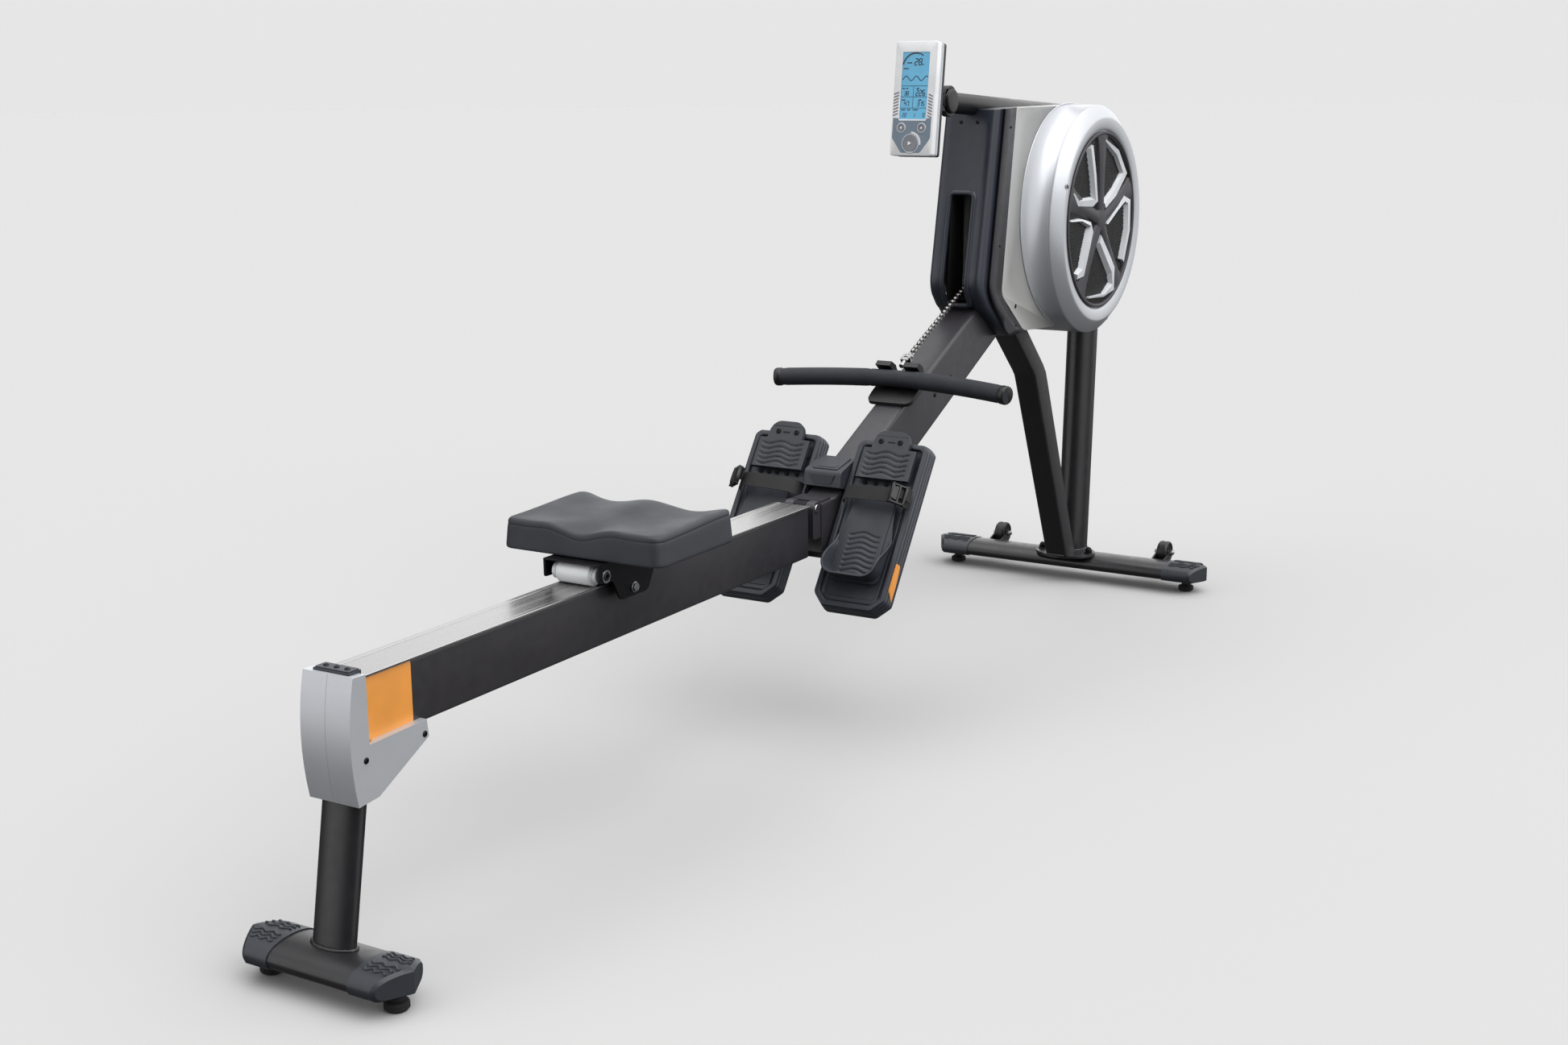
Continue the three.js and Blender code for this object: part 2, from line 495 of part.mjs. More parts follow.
function shroudFront() {
  const { halfY, skin, web, channel, channelY, slotY } = SHROUD;
  const inside = outline([
    [1772 + web, 1014], [1708 + web, 706], [1712 + web, 688], [1738 + web, 664], [1828, 600], [1950, 560],
    [1950, 1014]]);
  const hollowed = cut(
    common(slab('xz', outline(SHROUD_SIDE), -halfY, halfY), shroudPlan(0)),
    common(slab('xz', inside, -halfY, halfY), shroudPlan(skin)));
  const groove = outline([
    [1680, 1100], [1772 + channel + 12, 1100], [1772 + channel, 1018], [1708 + channel, 706],
    [1712 + channel, 690], [1715, 674], [1680, 674]]);
  const slot = rounded([[-slotY, 660], [slotY, 660], [slotY, 862], [-slotY, 862]], 8);
  part('shroud_front', cut(hollowed, slab('xz', groove, -channelY, channelY), slab('yz', slot, 1680, 1860),
    beamPassage(0.5), boomRod(BOOM.radius + 0.8, 1700, 1900)), DARK_PLASTIC);
}

/** One half of the flywheel casing as a solid, its walls moved in by inset. */
function casingSolid(side, inset, rearX) {
  const plate = outline([
    [1844 + rearX, 1020 - inset], [1789 + rearX, 678], [1830 + rearX, 638 + inset],
    [1901 + rearX, 593 + inset], [2050, 584 + inset], [DRUM.x, DRUM.z], [DRUM.x, 1020 - inset]]);
  const near = inset > 0 ? -1 : GAP / 2;
  const drum = [
    [0, near], [DRUM.radius - inset, near], [DRUM.radius - inset, DRUM.bevelY - inset / 2],
    [DRUM.ring - inset / 2, DRUM.faceY - inset], [0, DRUM.faceY - inset]];
  const bell = turnedY(drum, 56).scale(1, side, 1).translate(DRUM.x, 0, DRUM.z);
  return join(sideSlab(side, plate, near, COVER.flatY - inset), bell);
}

/** The round grille with a five-armed star, in the X-Z plane, standing on the drum's face. */
function grille(side) {
  const { x, z, opening } = DRUM;
  const disc = new THREE.Shape();
  disc.absarc(x, z, opening - 0.5, 0, 2 * Math.PI);
  const plate = sideSlab(side, disc, 108, 110, 32);
  const star = [sideSlab(side, new THREE.Shape().absarc(x, z, 26, 0, 2 * Math.PI), 109, 118, 10)];
  for (let arm = 0; arm < 5; arm += 1) {
    const angle = rad(90 + 72 * arm);
    const spoke = outline([[0, -9], [opening - 8, -14], [opening - 8, 14], [0, 9]]);
    star.push(sideSlab(side, spoke, 109, 117).applyMatrix4(
      new THREE.Matrix4().makeRotationY(-angle)).translate(x, 0, z));
  }
  const rim = turnedY([
    [opening - 9, 109], [opening - 0.5, 109], [opening - 0.5, 118], [opening - 9, 118],
    [opening - 9, 109]], 48);
  return join(plate, ...star, rim.scale(1, side, 1).translate(x, 0, z));
}

function flywheelHousing() {
  shroudFront();
  const postPassage = block(2270, 2420, -33, 33, 540, 645);
  const strutPassage = block(1912, 2010, -25.5, 25.5, 570, 612);
  for (const [label, side] of SIDES) {
    const shell = cut(
      casingSolid(side, 0, 0), casingSolid(side, COVER.wall, -30),
      rod(DRUM.opening, [DRUM.x, side * 90, DRUM.z], [DRUM.x, side * 140, DRUM.z], 48),
      postPassage, strutPassage, beamPassage(0.5), boomRod(BOOM.radius + 0.8, 1700, BOOM.frontX + 6));
    part(`side_cover_${label}`, shell, SILVER_PLASTIC);
    part(`grille_${label}`, grille(side), BLACK_PLASTIC);
  }
}

// ---------------------------------------------------------------- flywheel, chain and handle
function rotor() {
  const { radius, axle, back, front, blades } = ROTOR;
  const wheels = SIDES.map(([, side]) => {
    const disc = turnedY([
      [0, back], [radius, back], [radius, back + 5], [30, back + 5], [24, front], [0, front]], 36);
    const fins = [];
    for (let i = 0; i < blades; i += 1) {
      const fin = block(58, radius - 6, back + 4, front - 8, -1.5, 1.5);
      fins.push(fin.applyMatrix4(new THREE.Matrix4().makeRotationY((2 * Math.PI * i) / blades)));
    }
    const hoop = turnedY([
      [radius - 12, front - 12], [radius - 4, front - 12], [radius - 4, front - 6], [radius - 12, front - 6],
      [radius - 12, front - 12]], 36);
    return join(disc, ...fins, hoop).scale([1, side, 1]);
  });
  const shaft = rod(axle, [0, -back - 1, 0], [0, back + 1, 0]);
  return join(shaft, ...wheels).translate([DRUM.x, 0, DRUM.z]);
}

/** A chain sprocket: its teeth are half-round gaps around the rim. */
function sprocket() {
  const pitchRadius = SPROCKET.pitch / (2 * Math.sin(Math.PI / SPROCKET.teeth));
  const rootRadius = pitchRadius - CHAIN.halfHeight - 0.8;
  const wheel = turnedY([
    [ROTOR.axle + GAP, -7], [20, -7], [20, -2], [rootRadius, -2], [rootRadius, 2], [20, 2], [20, 7],
    [ROTOR.axle + GAP, 7], [ROTOR.axle + GAP, -7]], SPROCKET.teeth);
  return { wheel: wheel.translate(DRUM.x, 0, DRUM.z), pitchRadius };
}

/** Outline of a chain that runs straight in, wraps the front of the sprocket and runs into the beam. */
function chainOutline(pitchRadius, halfHeight) {
  const points = [];
  const axle = [DRUM.x, DRUM.z];
  const upper = rad(CHAIN.angle) + Math.PI / 2;
  const end = [CHAIN.endX, beamTop(CHAIN.endX) - BEAM.depth * 0.55];
  const toAxle = Math.atan2(axle[1] - end[1], axle[0] - end[0]);
  const distance = Math.hypot(axle[0] - end[0], axle[1] - end[1]);
  const lowerRun = toAxle - Math.asin(pitchRadius / distance);
  const lower = lowerRun - Math.PI / 2;
  const steps = 16;
  for (const edge of [1, -1]) {
    const radius = pitchRadius + edge * halfHeight;
    const stretch = [[CHAIN.x, CHAIN.z + edge * halfHeight]];
    for (let i = 0; i <= steps; i += 1) {
      const angle = upper + ((lower - upper) * i) / steps;
      stretch.push([axle[0] + radius * Math.cos(angle), axle[1] + radius * Math.sin(angle)]);
    }
    stretch.push([end[0], end[1] - edge * halfHeight]);
    points.push(...(edge > 0 ? stretch : stretch.reverse()));
  }
  return { shape: outline(points), end, lowerRun };
}

function driveTrain() {
  part('flywheel', rotor(), STEEL);
  const { wheel, pitchRadius } = sprocket();
  part('drive_sprocket', wheel, STEEL);
  const { shape, end, lowerRun } = chainOutline(pitchRadius, CHAIN.halfHeight);
  part('drive_chain', slab('xz', shape, -CHAIN.halfWidth, CHAIN.halfWidth), STAINLESS);

  const along2 = (distance) =>
    [end[0] - distance * Math.cos(lowerRun), 0, end[1] - distance * Math.sin(lowerRun)];
  const low = [1290, 0, beamTop(1290) - BEAM.depth * 0.55];
  part('return_cord', rod(4, along2(3), low, 10), RUBBER);
}

function handleAssembly() {
  const { x, z, radius, half, sweep, drop } = HANDLE;
  const points = [];
  for (let i = -6; i <= 6; i += 1) {
    const t = Math.abs(i) / 6;
    points.push(new THREE.Vector3(x - sweep * t ** 1.7, (i / 6) * half, z - drop * t ** 1.7));
  }
  const ring = new THREE.Shape();
  ring.absarc(0, 0, radius, 0, 2 * Math.PI);
  const path = new THREE.CatmullRomCurve3(points);
  const bar = new THREE.ExtrudeGeometry(ring, { extrudePath: path, steps: 14, curveSegments: 9 });
  part('handle_bar', bar, GRIP_FOAM);

  // Swivel between the bar and the chain, lying along the chain.
  const swivel = new THREE.Group();
  swivel.position.set(CHAIN.x - 2, 0, CHAIN.z - 2 * chainSlope);
  swivel.rotation.y = -rad(CHAIN.angle);
  const clevis = join(block(-22, -1, -8, 8, -6, 6), rod(5, [-38, 0, 0], [-20, 0, 0], 12));
  machine.add(swivel);
  const strap = rod(radius + GAP, [x, -10, z], [x, 10, z], 20);
  swivel.updateMatrix();
  const inverse = swivel.matrix.clone().invert();
  strap.applyMatrix4(inverse);
  part('chain_swivel', cut(clevis, strap), STAINLESS, swivel);

  // Cradle on the beam, drawn along the beam from the point below the handle.
  const cradle = new THREE.Group();
  const slope = rad(BEAM.angle);
  const across = (z - beamTop(x)) * Math.cos(slope);
  cradle.position.set(x + across * Math.sin(slope), 0, z - across * Math.cos(slope));
  cradle.rotation.y = -slope;
  const rest = radius + 0.6;
  const saddle = new THREE.Shape();
  saddle.moveTo(-46, 0.5);
  saddle.lineTo(34, 0.5);
  saddle.lineTo(31, across + 8);
  saddle.lineTo(20, across + 23);
  saddle.lineTo(9, across + 21);
  saddle.lineTo(14, across + 12);
  saddle.absarc(0, across, rest + 1, rad(35), rad(-100), true);
  saddle.lineTo(-20, 10);
  saddle.lineTo(-46, 7);
  const gapForChain = block(-30, 60, -13, 13, across - 6, across + 40);
  const prongCut = SIDES.map(([, side]) => sideBlock(side, -6, 60, 42, 80, 12, 90));
  const plan = rounded([[-46, -44], [36, -44], [36, 44], [-46, 44]], 15);
  const rounder = slab('xy', plan, 0, across + 40, 6);
  const body = cut(common(slab('xz', saddle, -44, 44, 8), rounder), gapForChain, ...prongCut,
    rod(rest, [0, -60, across], [0, 60, across], 32));
  machine.add(cradle);
  part('handle_cradle', body, BLACK_PLASTIC, cradle);
}

// ---------------------------------------------------------------- footboards
/**
 * One footboard with its toe plate, heel cup, strap and buckle, in the board's own frame:
 * +X up the board, +Z off its face towards the rower.
 */
function footboard(label, side) {
  const board = new THREE.Group();
  board.position.set(BOARD.x, side * BOARD.y, BOARD.z);
  board.rotation.y = -rad(BOARD.angle);
  machine.add(board);
  const { half, halfWidth, depth, draft } = BOARD;

  const plan = (inset) => {
    const length = half - inset;
    const width = halfWidth - inset;
    const corner = 20 - inset * 0.5;
    return outline([
      [-length + corner, -width], [length - corner, -width], [length, -width + corner],
      [length, width - corner], [length - corner, width], [-length + corner, width],
      [-length, width - corner], [-length, -width + corner]]);
  };
  const flared = new THREE.ExtrudeGeometry(plan(0), {
    depth: 1, bevelThickness: depth, bevelSize: draft, bevelSegments: 1 }).translate(0, 0, -depth - 1);
  const tray = cut(common(flared, block(-200, 200, -100, 100, -depth, 0)),
    slab('xy', plan(10), -7, 5), slab('xy', plan(5), -80, -11));
  part(`footboard_${label}`, tray, DARK_PLASTIC, board);

  const toe = new THREE.Shape();
  toe.moveTo(86, -50);
  toe.lineTo(134, -50);
  toe.quadraticCurveTo(138, -36, 148, -36);
  toe.quadraticCurveTo(167, -28, 167, 0);
  toe.quadraticCurveTo(167, 28, 148, 36);
  toe.quadraticCurveTo(138, 36, 134, 50);
  toe.lineTo(86, 50);
  part(`toe_plate_${label}`, slab('xy', toe, 0.4, 9, 5), DARK_PLASTIC, board);

  const sole = rounded([[-106, -38], [0, -44], [44, -40], [44, 40], [0, 44], [-106, 38]], 9);
  const wallPlan = rounded([[-108, -50], [-30, -54], [-30, 54], [-108, 50]], 14);
  const wallInner = rounded([[-101, -44], [-10, -48], [-10, 48], [-101, 44]], 12);
  const slopeCut = outline([[-120, 38], [-88, 36], [-36, 8], [0, 8], [0, 60], [-120, 60]]);
  const wall = cut(
    slab('xy', wallPlan, 1, 36, 5), slab('xy', wallInner, 0, 40, 5), slab('xz', slopeCut, -80, 80));
  const floorPlate = slab('xy', rounded([[-106, -48], [-30, -52], [-30, 52], [-106, 48]], 13), 1, 4, 5);
  part(`heel_cup_${label}`, join(slab('xy', sole, 0.8, 4.5), wall, floorPlate), BLACK_PLASTIC, board);

  // The strap arches over the board from edge to edge; its buckle sits near the outer edge.
  const arch = (lift) => {
    const shape = new THREE.Shape();
    shape.moveTo(-60, 1 + lift * 0.4);
    shape.bezierCurveTo(-56, 26 + lift, -28, 30 + lift, 0, 30 + lift);
    shape.bezierCurveTo(28, 30 + lift, 56, 26 + lift, 60, 1 + lift * 0.4);
    return shape.getPoints(10);
  };
  const band = outline([...arch(3), ...arch(0).reverse()].map((point) => [point.x, point.y]));
  part(`foot_strap_${label}`, slab('yz', band, 29, 61), WEBBING, board);
  const buckle = new THREE.Group();
  buckle.position.set(45, side * 52, 31);
  buckle.rotation.x = -side * rad(42);
  board.add(buckle);
  part(`strap_buckle_${label}`, block(-19, 19, -12, 12, 0, 6), BLACK_PLASTIC, buckle);
}

// ---------------------------------------------------------------- monitor
function monitorAssembly() {
  const cross = rod(
    BOOM.crossRadius, [BOOM.x, -BOOM.crossHalf, BOOM.z], [BOOM.x, BOOM.crossHalf, BOOM.z], 28);
  part('monitor_boom', join(boomRod(BOOM.radius, BOOM.x, BOOM.frontX), cross), FRAME_PAINT);

  const head = new THREE.Group();
  head.position.set(MONITOR.x, 0, MONITOR.z);
  head.rotation.y = rad(MONITOR.tilt);
  machine.add(head);
  head.updateMatrix();
  const inverse = head.matrix.clone().invert();
  const tube = new THREE.Vector3(BOOM.x, 0, BOOM.z).applyMatrix4(inverse);
  const { half, halfHeight, depth } = MONITOR;
  const face = rounded(
    [[-half, -halfHeight], [half, -halfHeight], [half, halfHeight], [-half, halfHeight]], 4);
  const screen = { half: 26.5, low: -36, high: 81 };
  const keys = [
    ['left', 21, -51, 6.5], ['right', -19, -51, 6.5], ['play', 1, -78, 14.5]];
  const clamp = join(
    rod(BOOM.crossRadius + 6, [tube.x, -34, tube.z], [tube.x, -22, tube.z]),
    rod(BOOM.crossRadius + 6, [tube.x, 22, tube.z], [tube.x, 34, tube.z]),
    block(depth - 1, tube.x, -34, 34, tube.z - 20, tube.z + 20));
  const hollows = [
    rod(BOOM.crossRadius + 0.4, [tube.x, -40, tube.z], [tube.x, 40, tube.z], 28),
    block(-1, 2.5, -screen.half - GAP, screen.half + GAP, screen.low - GAP, screen.high + GAP)];
  for (const [, y, z, radius] of keys) {
    hollows.push(rod(radius + 0.4, [-5, y, z], [7, y, z], 20));
  }
  const shell = slab('yz', face, 0, depth);
  part('monitor_case', cut(join(shell, clamp), ...hollows), WHITE_PLASTIC, head);
  const glass = block(1, 2.2, -screen.half, screen.half, screen.low, screen.high);
  part('monitor_screen', glass, LCD, head);
  for (const [label, y, z, radius] of keys) {
    part(`button_${label}`, rod(radius, [-1.6, y, z], [4.5, y, z], 20), BUTTON_GREY, head);
  }
}

floorBars();
railAndRearLeg();
seatAssembly();
mainBeam();
frontLegs();
flywheelHousing();
driveTrain();
handleAssembly();
for (const [label, side] of SIDES) footboard(label, side);
monitorAssembly();

export default machine;
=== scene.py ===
"""Looks of an air rowing machine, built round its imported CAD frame.

Lengths in this script are millimetres in stations: X forward from the rear foot, Y to the rower's
left and Z up from the floor. STATION turns them into the CAD frame's metres.
"""
import json
import math

import bmesh
import bpy
from mathutils import Matrix, Vector


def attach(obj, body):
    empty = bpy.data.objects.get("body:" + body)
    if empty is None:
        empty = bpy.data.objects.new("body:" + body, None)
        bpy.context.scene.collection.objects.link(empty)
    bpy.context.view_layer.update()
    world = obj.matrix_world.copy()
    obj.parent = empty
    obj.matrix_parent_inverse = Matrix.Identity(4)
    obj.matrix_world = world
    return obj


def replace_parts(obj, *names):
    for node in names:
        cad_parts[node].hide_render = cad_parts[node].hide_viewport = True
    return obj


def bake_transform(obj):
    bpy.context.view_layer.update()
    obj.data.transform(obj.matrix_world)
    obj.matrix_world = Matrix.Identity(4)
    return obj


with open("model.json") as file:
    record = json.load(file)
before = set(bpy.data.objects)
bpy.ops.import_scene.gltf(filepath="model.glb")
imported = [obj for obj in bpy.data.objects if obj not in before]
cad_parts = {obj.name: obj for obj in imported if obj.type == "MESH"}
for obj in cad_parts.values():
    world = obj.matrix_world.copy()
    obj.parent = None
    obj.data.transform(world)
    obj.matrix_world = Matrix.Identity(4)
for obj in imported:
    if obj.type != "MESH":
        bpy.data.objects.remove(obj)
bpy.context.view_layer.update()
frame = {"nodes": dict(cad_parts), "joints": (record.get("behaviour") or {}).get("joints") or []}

# ---------------------------------------------------------------- stations and driving sizes
joints = {joint["name"]: joint for joint in frame["joints"]}
HINGE = Vector((1142, 0, 382))
ORIGIN_X = HINGE.x - 1000 * joints["rail_fold"]["pos_m"][0]
STATION = Matrix.Scale(0.001, 4) @ Matrix.Translation((-ORIGIN_X, 0, 0))

BAR = {"rear": 0, "front": 2308, "half": 44, "low": 26, "top": 57}
RAIL = {"rear": 28, "front": 1112, "half": 29, "low": 304, "top": 390}
TRACK = {"rear": 50.5, "half": 33, "low": 390.3, "top": 393.3}
BEAM = {"rear": 1156, "bend": 1205, "angle": math.radians(25.54), "depth": 99.3, "half": 30, "end": 1895}
WHEEL = Vector((2380, 193, 60))
LOCK_HEIGHT = 346
DRUM = Vector((2152, 0, 792))
DRUM_RADIUS, GRILLE_RADIUS, PLATE_Y = 228, 177, 60
BOARD = {"x": 1190, "y": 103, "z": 355, "tilt": math.radians(55), "half": 150, "wide": 65, "deep": 29}
HANDLE = {"x": 1479, "z": 552, "half": 233, "sweep": 31, "drop": 9}
CHAIN = {"x": 1535, "z": 588, "angle": math.radians(24), "pitch": 12.7, "teeth": 32}
BOOM = {"x": 1620, "z": 1036, "slope": math.radians(3.4), "end": 2230, "radius": 19, "cross": 21.5,
        "half": 40}
HEAD = Matrix.Translation((1541, 0, 1042)) @ Matrix.Rotation(math.radians(7.6), 4, "Y")
SEAT = {"x": 588, "base": 67, "axle": 409.6, "guide": 379.5}
PAD = {"x": 622, "long": 100, "wide": 138, "low": 429.3}

WRAP_RADIUS = CHAIN["pitch"] / (2 * math.sin(math.pi / CHAIN["teeth"]))  # of the pins round the chain wheel

SIDES = (("left", 1), ("right", -1))
ABOUT_Y = Matrix.Rotation(math.radians(-90), 4, "X")  # lays a shape turned about Z on the Y axis


def beam_top(x):
    return RAIL["top"] + (x - BEAM["bend"]) * math.tan(BEAM["angle"])


# ---------------------------------------------------------------- camera
EYE = Vector((-1609.05, -1609.91, 1092.96))
VIEW = (0.5389001, 0.2273218, -0.0081617)  # yaw, pitch down and roll in radians, fitted to the photograph
LENS = 44.927


def make_camera():
    """The camera stands behind the machine on its right, a little above the monitor."""
    yaw, pitch, roll = VIEW
    forward = Vector((math.cos(pitch) * math.cos(yaw), math.cos(pitch) * math.sin(yaw), -math.sin(pitch)))
    level = Vector((math.sin(yaw), -math.cos(yaw), 0))
    upright = level.cross(forward)
    right = math.cos(roll) * level + math.sin(roll) * upright
    up = math.cos(roll) * upright - math.sin(roll) * level
    camera = bpy.data.objects.new("camera", bpy.data.cameras.new("camera"))
    camera.data.sensor_width = 36
    camera.data.lens = LENS
    camera.data.clip_end = 200
    turn = Matrix((right, up, -forward)).transposed().to_4x4()
    camera.matrix_world = Matrix.Translation(STATION @ EYE) @ turn
    bpy.context.scene.collection.objects.link(camera)
    bpy.context.scene.camera = camera


make_camera()


# ---------------------------------------------------------------- materials
def linear(red, green, blue):
    """A display colour of 0 to 255 as linear light."""
    shares = (red / 255, green / 255, blue / 255)
    return (*(s / 12.92 if s < 0.04045 else ((s + 0.055) / 1.055) ** 2.4 for s in shares), 1)


def set_range(node, from_low, from_high, low, high):
    """Sets the four limits of a Map Range node."""
    for socket, value in (("From Min", from_low), ("From Max", from_high), ("To Min", low), ("To Max", high)):
        node.inputs[socket].default_value = value


class Finish:
    """A Principled material under construction, in the object's own coordinates."""

    def __init__(self, name, colour, rough, metal=0.0, **sockets):
        self.material = bpy.data.materials.new(name)
        self.material.use_nodes = True
        self.tree = self.material.node_tree
        self.shader = self.tree.nodes["Principled BSDF"]
        self.colour = linear(*colour)
        self.rough = rough
        self.place = self.node("ShaderNodeTexCoord").outputs["Object"]
        self.set("Base Color", self.colour)
        self.set("Roughness", rough)
        self.set("Metallic", metal)
        for socket, value in sockets.items():
            self.set(socket.replace("_", " "), value)
        self.material.diffuse_color = self.colour

    def set(self, socket, value):
        self.shader.inputs[socket].default_value = value

    def node(self, kind, **values):
        made = self.tree.nodes.new(kind)
        for key, value in values.items():
            setattr(made, key, value)
        return made

    def link(self, source, target):
        self.tree.links.new(source, target)

    def noise(self, scale, detail, stretch=(1, 1, 1)):
        mapping = self.node("ShaderNodeMapping")
        mapping.inputs["Scale"].default_value = stretch
        self.link(self.place, mapping.inputs["Vector"])
        texture = self.node("ShaderNodeTexNoise")
        texture.inputs["Scale"].default_value = scale
        texture.inputs["Detail"].default_value = detail
        self.link(mapping.outputs["Vector"], texture.inputs["Vector"])
        return texture.outputs["Fac"]

    def spread(self, source, low, high, from_low=0.3, from_high=0.7):
        """Maps a noise onto the range low to high."""
        ranged = self.node("ShaderNodeMapRange")
        set_range(ranged, from_low, from_high, low, high)
        self.link(source, ranged.inputs["Value"])
        return ranged.outputs["Result"]

    def mottle(self, amount, scale=9.0, stretch=(1, 1, 1)):
        """Lightens and darkens the colour in soft patches."""
        mix = self.node("ShaderNodeMix", data_type="RGBA")
        mix.inputs["A"].default_value = (*(c * (1 - amount) for c in self.colour[:3]), 1)
        mix.inputs["B"].default_value = (*(min(1, c * (1 + amount)) for c in self.colour[:3]), 1)
        self.link(self.spread(self.noise(scale, 5, stretch), 0, 1), mix.inputs["Factor"])
        self.link(mix.outputs["Result"], self.shader.inputs["Base Color"])
        return self

    def relief(self, height, strength, distance=0.0004):
        bump = self.node("ShaderNodeBump")
        bump.inputs["Strength"].default_value = strength
        bump.inputs["Distance"].default_value = distance
        self.link(height, bump.inputs["Height"])
        self.link(bump.outputs["Normal"], self.shader.inputs["Normal"])
        return self

    def vary(self, amount, scale=30.0, stretch=(1, 1, 1)):
        """Varies the roughness, as handling and dust do."""
        worn = self.noise(scale, 6, stretch)
        self.link(self.spread(worn, self.rough - amount, self.rough + amount),
                  self.shader.inputs["Roughness"])
        return self


def paint(name, colour, rough=0.4, peel=260):
    """Powder coat: a fine orange peel under a faint clear gloss."""
    finish = Finish(name, colour, rough, 0.0, Coat_Weight=0.12, Coat_Roughness=0.25)
    finish.mottle(0.10, 14).vary(0.06, 60)
    return finish.relief(finish.noise(peel, 3), 0.10, 0.0003).material


def plastic(name, colour, rough=0.5, grain=1400, depth=0.22, **sockets):
    """Moulded plastic with a fine spark-eroded grain."""
    finish = Finish(name, colour, rough, 0.0, **sockets)
    finish.mottle(0.08, 20).vary(0.05, 45)
    return finish.relief(finish.noise(grain, 3), depth, 0.00022).material


def silver_paint(name, colour, rough=0.34):
    """Silver lacquer on plastic: metal flakes under a clear coat."""
    finish = Finish(name, colour, rough, 0.42, Coat_Weight=0.25, Coat_Roughness=0.18)
    finish.mottle(0.035, 700).vary(0.03, 24)
    return finish.relief(finish.noise(900, 2), 0.05, 0.0002).material


def brushed(name, colour, rough=0.28, stretch=(6, 900, 900)):
    """Metal brushed along one direction."""
    finish = Finish(name, colour, rough, 1.0)
    finish.mottle(0.14, 1.0, stretch).vary(0.09, 1.0, stretch)
    return finish.relief(finish.noise(1.0, 5, stretch), 0.12, 0.0002).material


def skin_foam():
    """Moulded foam with a pebbled skin and patchy gloss."""
    finish = Finish("seat_skin", (50, 52, 58), 0.52, 0.0, Specular_IOR_Level=0.4)
    finish.mottle(0.12, 12).vary(0.08, 16)
    cells = finish.node("ShaderNodeTexVoronoi", feature="DISTANCE_TO_EDGE")
    cells.inputs["Scale"].default_value = 620
    finish.link(finish.place, cells.inputs["Vector"])
    return finish.relief(finish.spread(cells.outputs["Distance"], 0, 1, 0.0, 0.35), 0.28, 0.0003).material


def woven():
    """Webbing: ribs across the band over a finer lengthwise weave."""
    finish = Finish("webbing_weave", (17, 17, 19), 0.6, 0.0, Sheen_Weight=0.06, Sheen_Roughness=0.5)
    ribs = finish.node("ShaderNodeTexWave", bands_direction="Y")
    ribs.inputs["Scale"].default_value = 260
    ribs.inputs["Distortion"].default_value = 0.6
    finish.link(finish.place, ribs.inputs["Vector"])
    threads = finish.node("ShaderNodeTexWave", bands_direction="DIAGONAL")
    threads.inputs["Scale"].default_value = 420
    finish.link(finish.place, threads.inputs["Vector"])
    both = finish.node("ShaderNodeMath", operation="MULTIPLY")
    finish.link(ribs.outputs["Fac"], both.inputs[0])
    finish.link(threads.outputs["Fac"], both.inputs[1])
    finish.mottle(0.2, 60)
    return finish.relief(both.outputs["Value"], 0.6, 0.0005).material


def grip_skin():
    """Soft rubber grip with a fine pebble."""
    finish = Finish("grip_rubber", (40, 42, 48), 0.58, 0.0, Specular_IOR_Level=0.35)
    finish.mottle(0.14, 25).vary(0.07, 20)
    return finish.relief(finish.noise(950, 2), 0.45, 0.0004).material


def display():
    """A lit display behind its window."""
    finish = Finish("lcd_blue", (84, 168, 206), 0.16, 0.0, Coat_Weight=0.5, Coat_Roughness=0.05)
    finish.mottle(0.10, 18)
    finish.set("Emission Color", linear(80, 165, 205))
    finish.set("Emission Strength", 0.16)
    return finish.material


